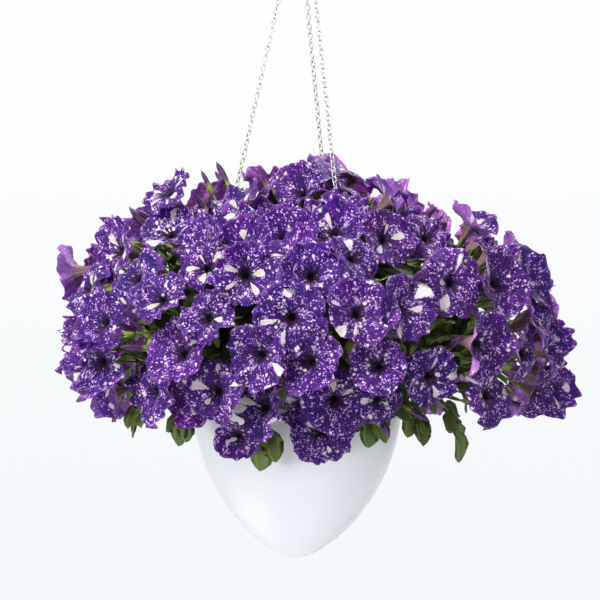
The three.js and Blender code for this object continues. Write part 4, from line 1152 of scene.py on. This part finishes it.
shoot_stems, hanging = shoot_leaves(traits)
bud_bodies, bud_greens = bud_parts(traits)
foliage = [
    tubes(shoot_stems, SHOOT_RADIUS, 8, 1), leaf_part(hanging, 11, 0.62, (0.22, 0.15)),
    leaf_part(inner_leaves(traits), 12), leaf_part(small_leaves(traits, 5, 0.74, 1.0), 13),
    leaf_part(small_leaves(traits, 6, 0.84, 0.8), 14, 0.45, (0.45, 0.2)), *bud_greens,
]
make_piece("buds", [bud_bodies], [furled], "petal_violet", "foliage")
make_piece("foliage_leaves", foliage, [leaf_green, stem_green], "leaf_green", "foliage")
make_piece("foliage_shade", [core_part()], [shade], "leaf_green", "foliage")

# ---- the pot, its soil and what it hangs by -----------------------------------------------------
LIP_ROUND, LEAST_RADIUS = 1.6, 2.0  # of the lip's edge, and of the wall at its tip
SOIL_SIDE, SOIL_GAP = 14.0, 1.2  # how far down its side goes, and how far off the wall
HOOK_SHANK, EYE_OPENING, CROOK_ENDS = 13.0, 157, (242, -34)  # the last two in degrees
LINK_PITCH, LINK_WIRE, LINK_HALF_WIDTH = 5.46, 0.62, 2.33


def wall_line(shrink, least, steps):
    """The pot's pointed profile: radius R cos(a)^point and height -D sin(a), drawn in by shrink."""
    radius = POT["radius"] - shrink
    last = np.arccos((least / radius) ** (1 / POT["point"]))
    a = last * np.linspace(0, 1, steps)
    return radius * np.cos(a) ** POT["point"], -(POT["depth"] - shrink) * np.sin(a)


def pot_part():
    """The wall turned about its axis: inside line up from the tip, half-round lip, outside line.

    At angle a of the half turn, the lip lies at radius r + out + b (sin(a) - 1) and at height
    -h (1 - cos(a)) / 2.
    """
    in_r, in_z = wall_line(POT["wall"], LEAST_RADIUS, 60)
    out_r, out_z = wall_line(0.0, LEAST_RADIUS, 90)
    a = np.linspace(0, np.pi, 13)
    lip_r = POT["radius"] + POT["lip_out"] + LIP_ROUND * (np.sin(a) - 1)
    lip_z = -POT["lip_height"] / 2 * (1 - np.cos(a))
    radius = [in_r[::-1], [POT["radius"] - POT["wall"] + 0.6], lip_r, [POT["radius"] + 0.1],
              out_r[4:]]
    height = [in_z[::-1], [-0.3], lip_z, [-POT["lip_height"] - 0.6], out_z[4:]]
    return lathe(np.concatenate(radius), np.concatenate(height), 128)


def soil_part():
    """A disc of crumbly peat: waves within waves across its top, and a side under its rim."""
    r = (POT["radius"] - POT["wall"] - SOIL_GAP) * np.linspace(1, 0.02, 34)[:, None]
    angle = ring_angles(110)
    x, y = r * np.cos(angle), r * np.sin(angle)
    bumps = 1.3 * np.sin(0.31 * x + 1.7 * np.sin(0.13 * y)) * np.cos(0.27 * y + np.sin(0.21 * x))
    bumps += 0.7 * np.sin(0.83 * x - 0.4 * y) * np.sin(0.71 * y)
    top = np.stack([x, y, SOIL_TOP + bumps], -1)
    side = top[:1] * [0.97, 0.97, 0] + [0, 0, SOIL_TOP - SOIL_SIDE]
    rings = np.concatenate([side, top])[None]
    return loft(rings, [0, 0, SOIL_TOP - SOIL_SIDE], [0, 0, SOIL_TOP])


def hook_path():
    """The hanger's wire: an eye round the rings, a shank and a crook."""
    eye = [eye_point(np.radians(a), EYE_BEND) for a in np.linspace(-EYE_OPENING, EYE_OPENING, 25)]
    a = np.radians(np.linspace(*CROOK_ENDS, 30))
    crook = np.stack([CROOK_BEND * np.cos(a), 0 * a, CROOK_HEIGHT + CROOK_BEND * np.sin(a)], -1)
    return np.concatenate([eye, [[0, 0, EYE_HEIGHT + HOOK_SHANK]], crook])


def smooth_path(points, count):
    """A Catmull-Rom curve through points, at count even steps of its knots."""
    padded = np.concatenate([[2 * points[0] - points[1]], points, [2 * points[-1] - points[-2]]])
    at = np.linspace(0, len(points) - 1, count)
    i = np.minimum(at.astype(int), len(points) - 2)
    s = (at - i)[:, None]
    a, b, c, d = (padded[i + k] for k in range(4))
    return 0.5 * (2 * b + (c - a) * s + (2 * a - 5 * b + 4 * c - d) * s ** 2
                  + (3 * b - a - 3 * c + d) * s ** 3)


def stadium(half_long, half_wide, steps):
    """A link's middle line in its own plane: two half circles joined by straight sides.

    At angle a it lies at w cos(a) across and at w sin(a), plus or minus the straight's half, up.
    """
    turns = TURN * (np.arange(steps) + 0.5) / steps
    reach = half_long - half_wide
    return np.stack([half_wide * np.cos(turns),
                     half_wide * np.sin(turns) + reach * np.sign(np.sin(turns))], -1)


def chain_parts(turn, eye_turn):
    """One chain: small welded links from the ear's ring up to the eye's ring, and both rings.

    Link k stands a quarter turn from the last, and all of them twist slowly along the chain, by
    0.9 sin(0.045 k + turn), with a small play of 0.12 sin(2.4 k).
    """
    foot, head, drop = chain_ends(turn, eye_turn)
    ahead = unit(head - foot)
    span = np.linalg.norm(head - foot)
    count = int(round(span / LINK_PITCH))
    pitch = span / count
    k = np.arange(count)
    middles = foot + ahead * (pitch * (k + 0.5))[:, None]
    side, up = face_axes(ahead)
    twist = 0.7 + np.pi / 2 * (k % 2) + 0.9 * np.sin(k * 0.045 + turn) + 0.12 * np.sin(k * 2.4)
    across = around(1.0, twist, side, up)
    line = stadium(pitch / 2 + LINK_WIRE * 0.95, LINK_HALF_WIDTH, 16)
    path = middles[:, None] + line[:, :1] * across[:, None] + line[:, 1:] * ahead
    eye_angle = np.radians(eye_turn)
    out = np.array([np.sin(eye_angle), 0, -np.cos(eye_angle)])
    angle, level = ring_angles(32), bearing(np.radians(turn), 0.0)
    foot_ring = foot - [0, 0, FOOT_RING] + around(FOOT_RING, angle, level, np.array([0, 0, 1.0]))
    top_ring = eye_point(eye_angle, EYE_BEND + drop) + around(TOP_RING, angle, out,
                                                              np.array([0, 1.0, 0]))
    return [torus(path, LINK_WIRE, 6), torus(np.stack([foot_ring, top_ring]), RING_WIRE, 10)]


make_piece("pot_shell", [pot_part()], [glossy_white], "white_plastic", "pot")
make_piece("soil_top", [soil_part()], [peat], "potting_soil", "soil")
hook = tubes(smooth_path(hook_path(), 160)[None], HOOK_WIRE, 16)
make_piece("hanging_hook", [hook], [dull_zinc], "steel_wire", "hook")
for chain, chain_turn, chain_eye in CHAINS:
    links = chain_parts(chain_turn, chain_eye)
    make_piece(f"{chain}_links", links, [zinc], "steel_wire", chain)

# ---- the floor, lights and camera ---------------------------------------------------------------
FLOOR_RADIUS, FLOOR_GAP = 2.5, 1.0  # metres
LIGHTS = [  # name, place, what it aims at, size in metres, watts and colour
    ("key", (-1.5, -2.2, 1.9), (0, 0, -0.45), 1.1, 190, (1.0, 0.99, 0.97)),
    ("side", (-1.8, -1.9, -0.7), (0, 0, -0.66), 0.9, 22, (1, 1, 1)),
    ("fill", (1.9, -2.0, 0.2), (0, 0, -0.45), 1.4, 18, (1, 1, 1)),
    ("back", (0.6, 2.0, 1.8), (0, 0, -0.45), 1.5, 72, (1, 1, 1)),
]
CAMERA_DISTANCE, CAMERA_RISE, CAMERA_LENS, CAMERA_ROLL = 2.1, 3.0, 109.6, 0.45
AIM = Vector((0.0023, 0.0, 0.109 - BEARING_HEIGHT * MM))


def make_floor():
    """A wide disc under the basket."""
    mesh = bpy.data.meshes.new("floor")
    z = cad_box[0][2] - FLOOR_GAP
    disc = [(FLOOR_RADIUS * np.cos(a), FLOOR_RADIUS * np.sin(a), z) for a in ring_angles(64)]
    mesh.from_pydata(disc, [], [list(range(64))])
    mesh.materials.append(make_floor_material())
    floor = bpy.data.objects.new("floor", mesh)
    bpy.context.scene.collection.objects.link(floor)


def make_light(name, place, aim, size, watts, colour):
    """A round lamp at a place, turned to what it aims at."""
    data = bpy.data.lights.new(name, "AREA")
    data.shape, data.size, data.energy, data.color = "DISK", size, watts, colour
    lamp = bpy.data.objects.new(name, data)
    lamp.location = place
    lamp.rotation_euler = (Vector(aim) - Vector(place)).to_track_quat("-Z", "Y").to_euler()
    bpy.context.scene.collection.objects.link(lamp)


def make_world():
    """Near-white to the camera, fading a little cooler downwards, and dimmer as a light."""
    world = bpy.data.worlds.new("studio")
    world.use_nodes = True
    world.node_tree.nodes.clear()
    g = Graph(world.node_tree)
    height = g.parts(g.node("TexCoord", (), "Generated"))[2]
    seen = g.blend(g.step(height, -0.2, 0.1), rgb(244, 248, 250), rgb(254, 254, 254))
    shown = g.node("Background", {"Color": seen, "Strength": 1.0})
    lit = g.node("Background", {"Color": rgb(240, 244, 255), "Strength": 0.38})
    ray = g.node("LightPath", (), None)
    bright = g.most(ray["Is Camera Ray"], g.times(ray["Is Glossy Ray"], 0.95))
    both = g.node("MixShader", {0: bright, 1: lit, 2: shown})
    g.node("OutputWorld", {"Surface": both}, None)
    bpy.context.scene.world = world


def make_camera():
    """A long lens a little above level, rolled by less than a degree."""
    rise = np.radians(CAMERA_RISE)
    data = bpy.data.cameras.new("camera")
    data.lens, data.sensor_width = CAMERA_LENS, 36
    camera = bpy.data.objects.new("camera", data)
    camera.location = AIM + CAMERA_DISTANCE * Vector((0, -np.cos(rise), np.sin(rise)))
    look = (AIM - camera.location).to_track_quat("-Z", "Y").to_matrix().to_4x4()
    camera.rotation_euler = (look @ Matrix.Rotation(np.radians(CAMERA_ROLL), 4, "Z")).to_euler()
    bpy.context.scene.collection.objects.link(camera)
    bpy.context.scene.camera = camera


make_floor()
make_world()
for light in LIGHTS:
    make_light(*light)
make_camera()
bpy.context.scene.view_settings.view_transform = "Standard"
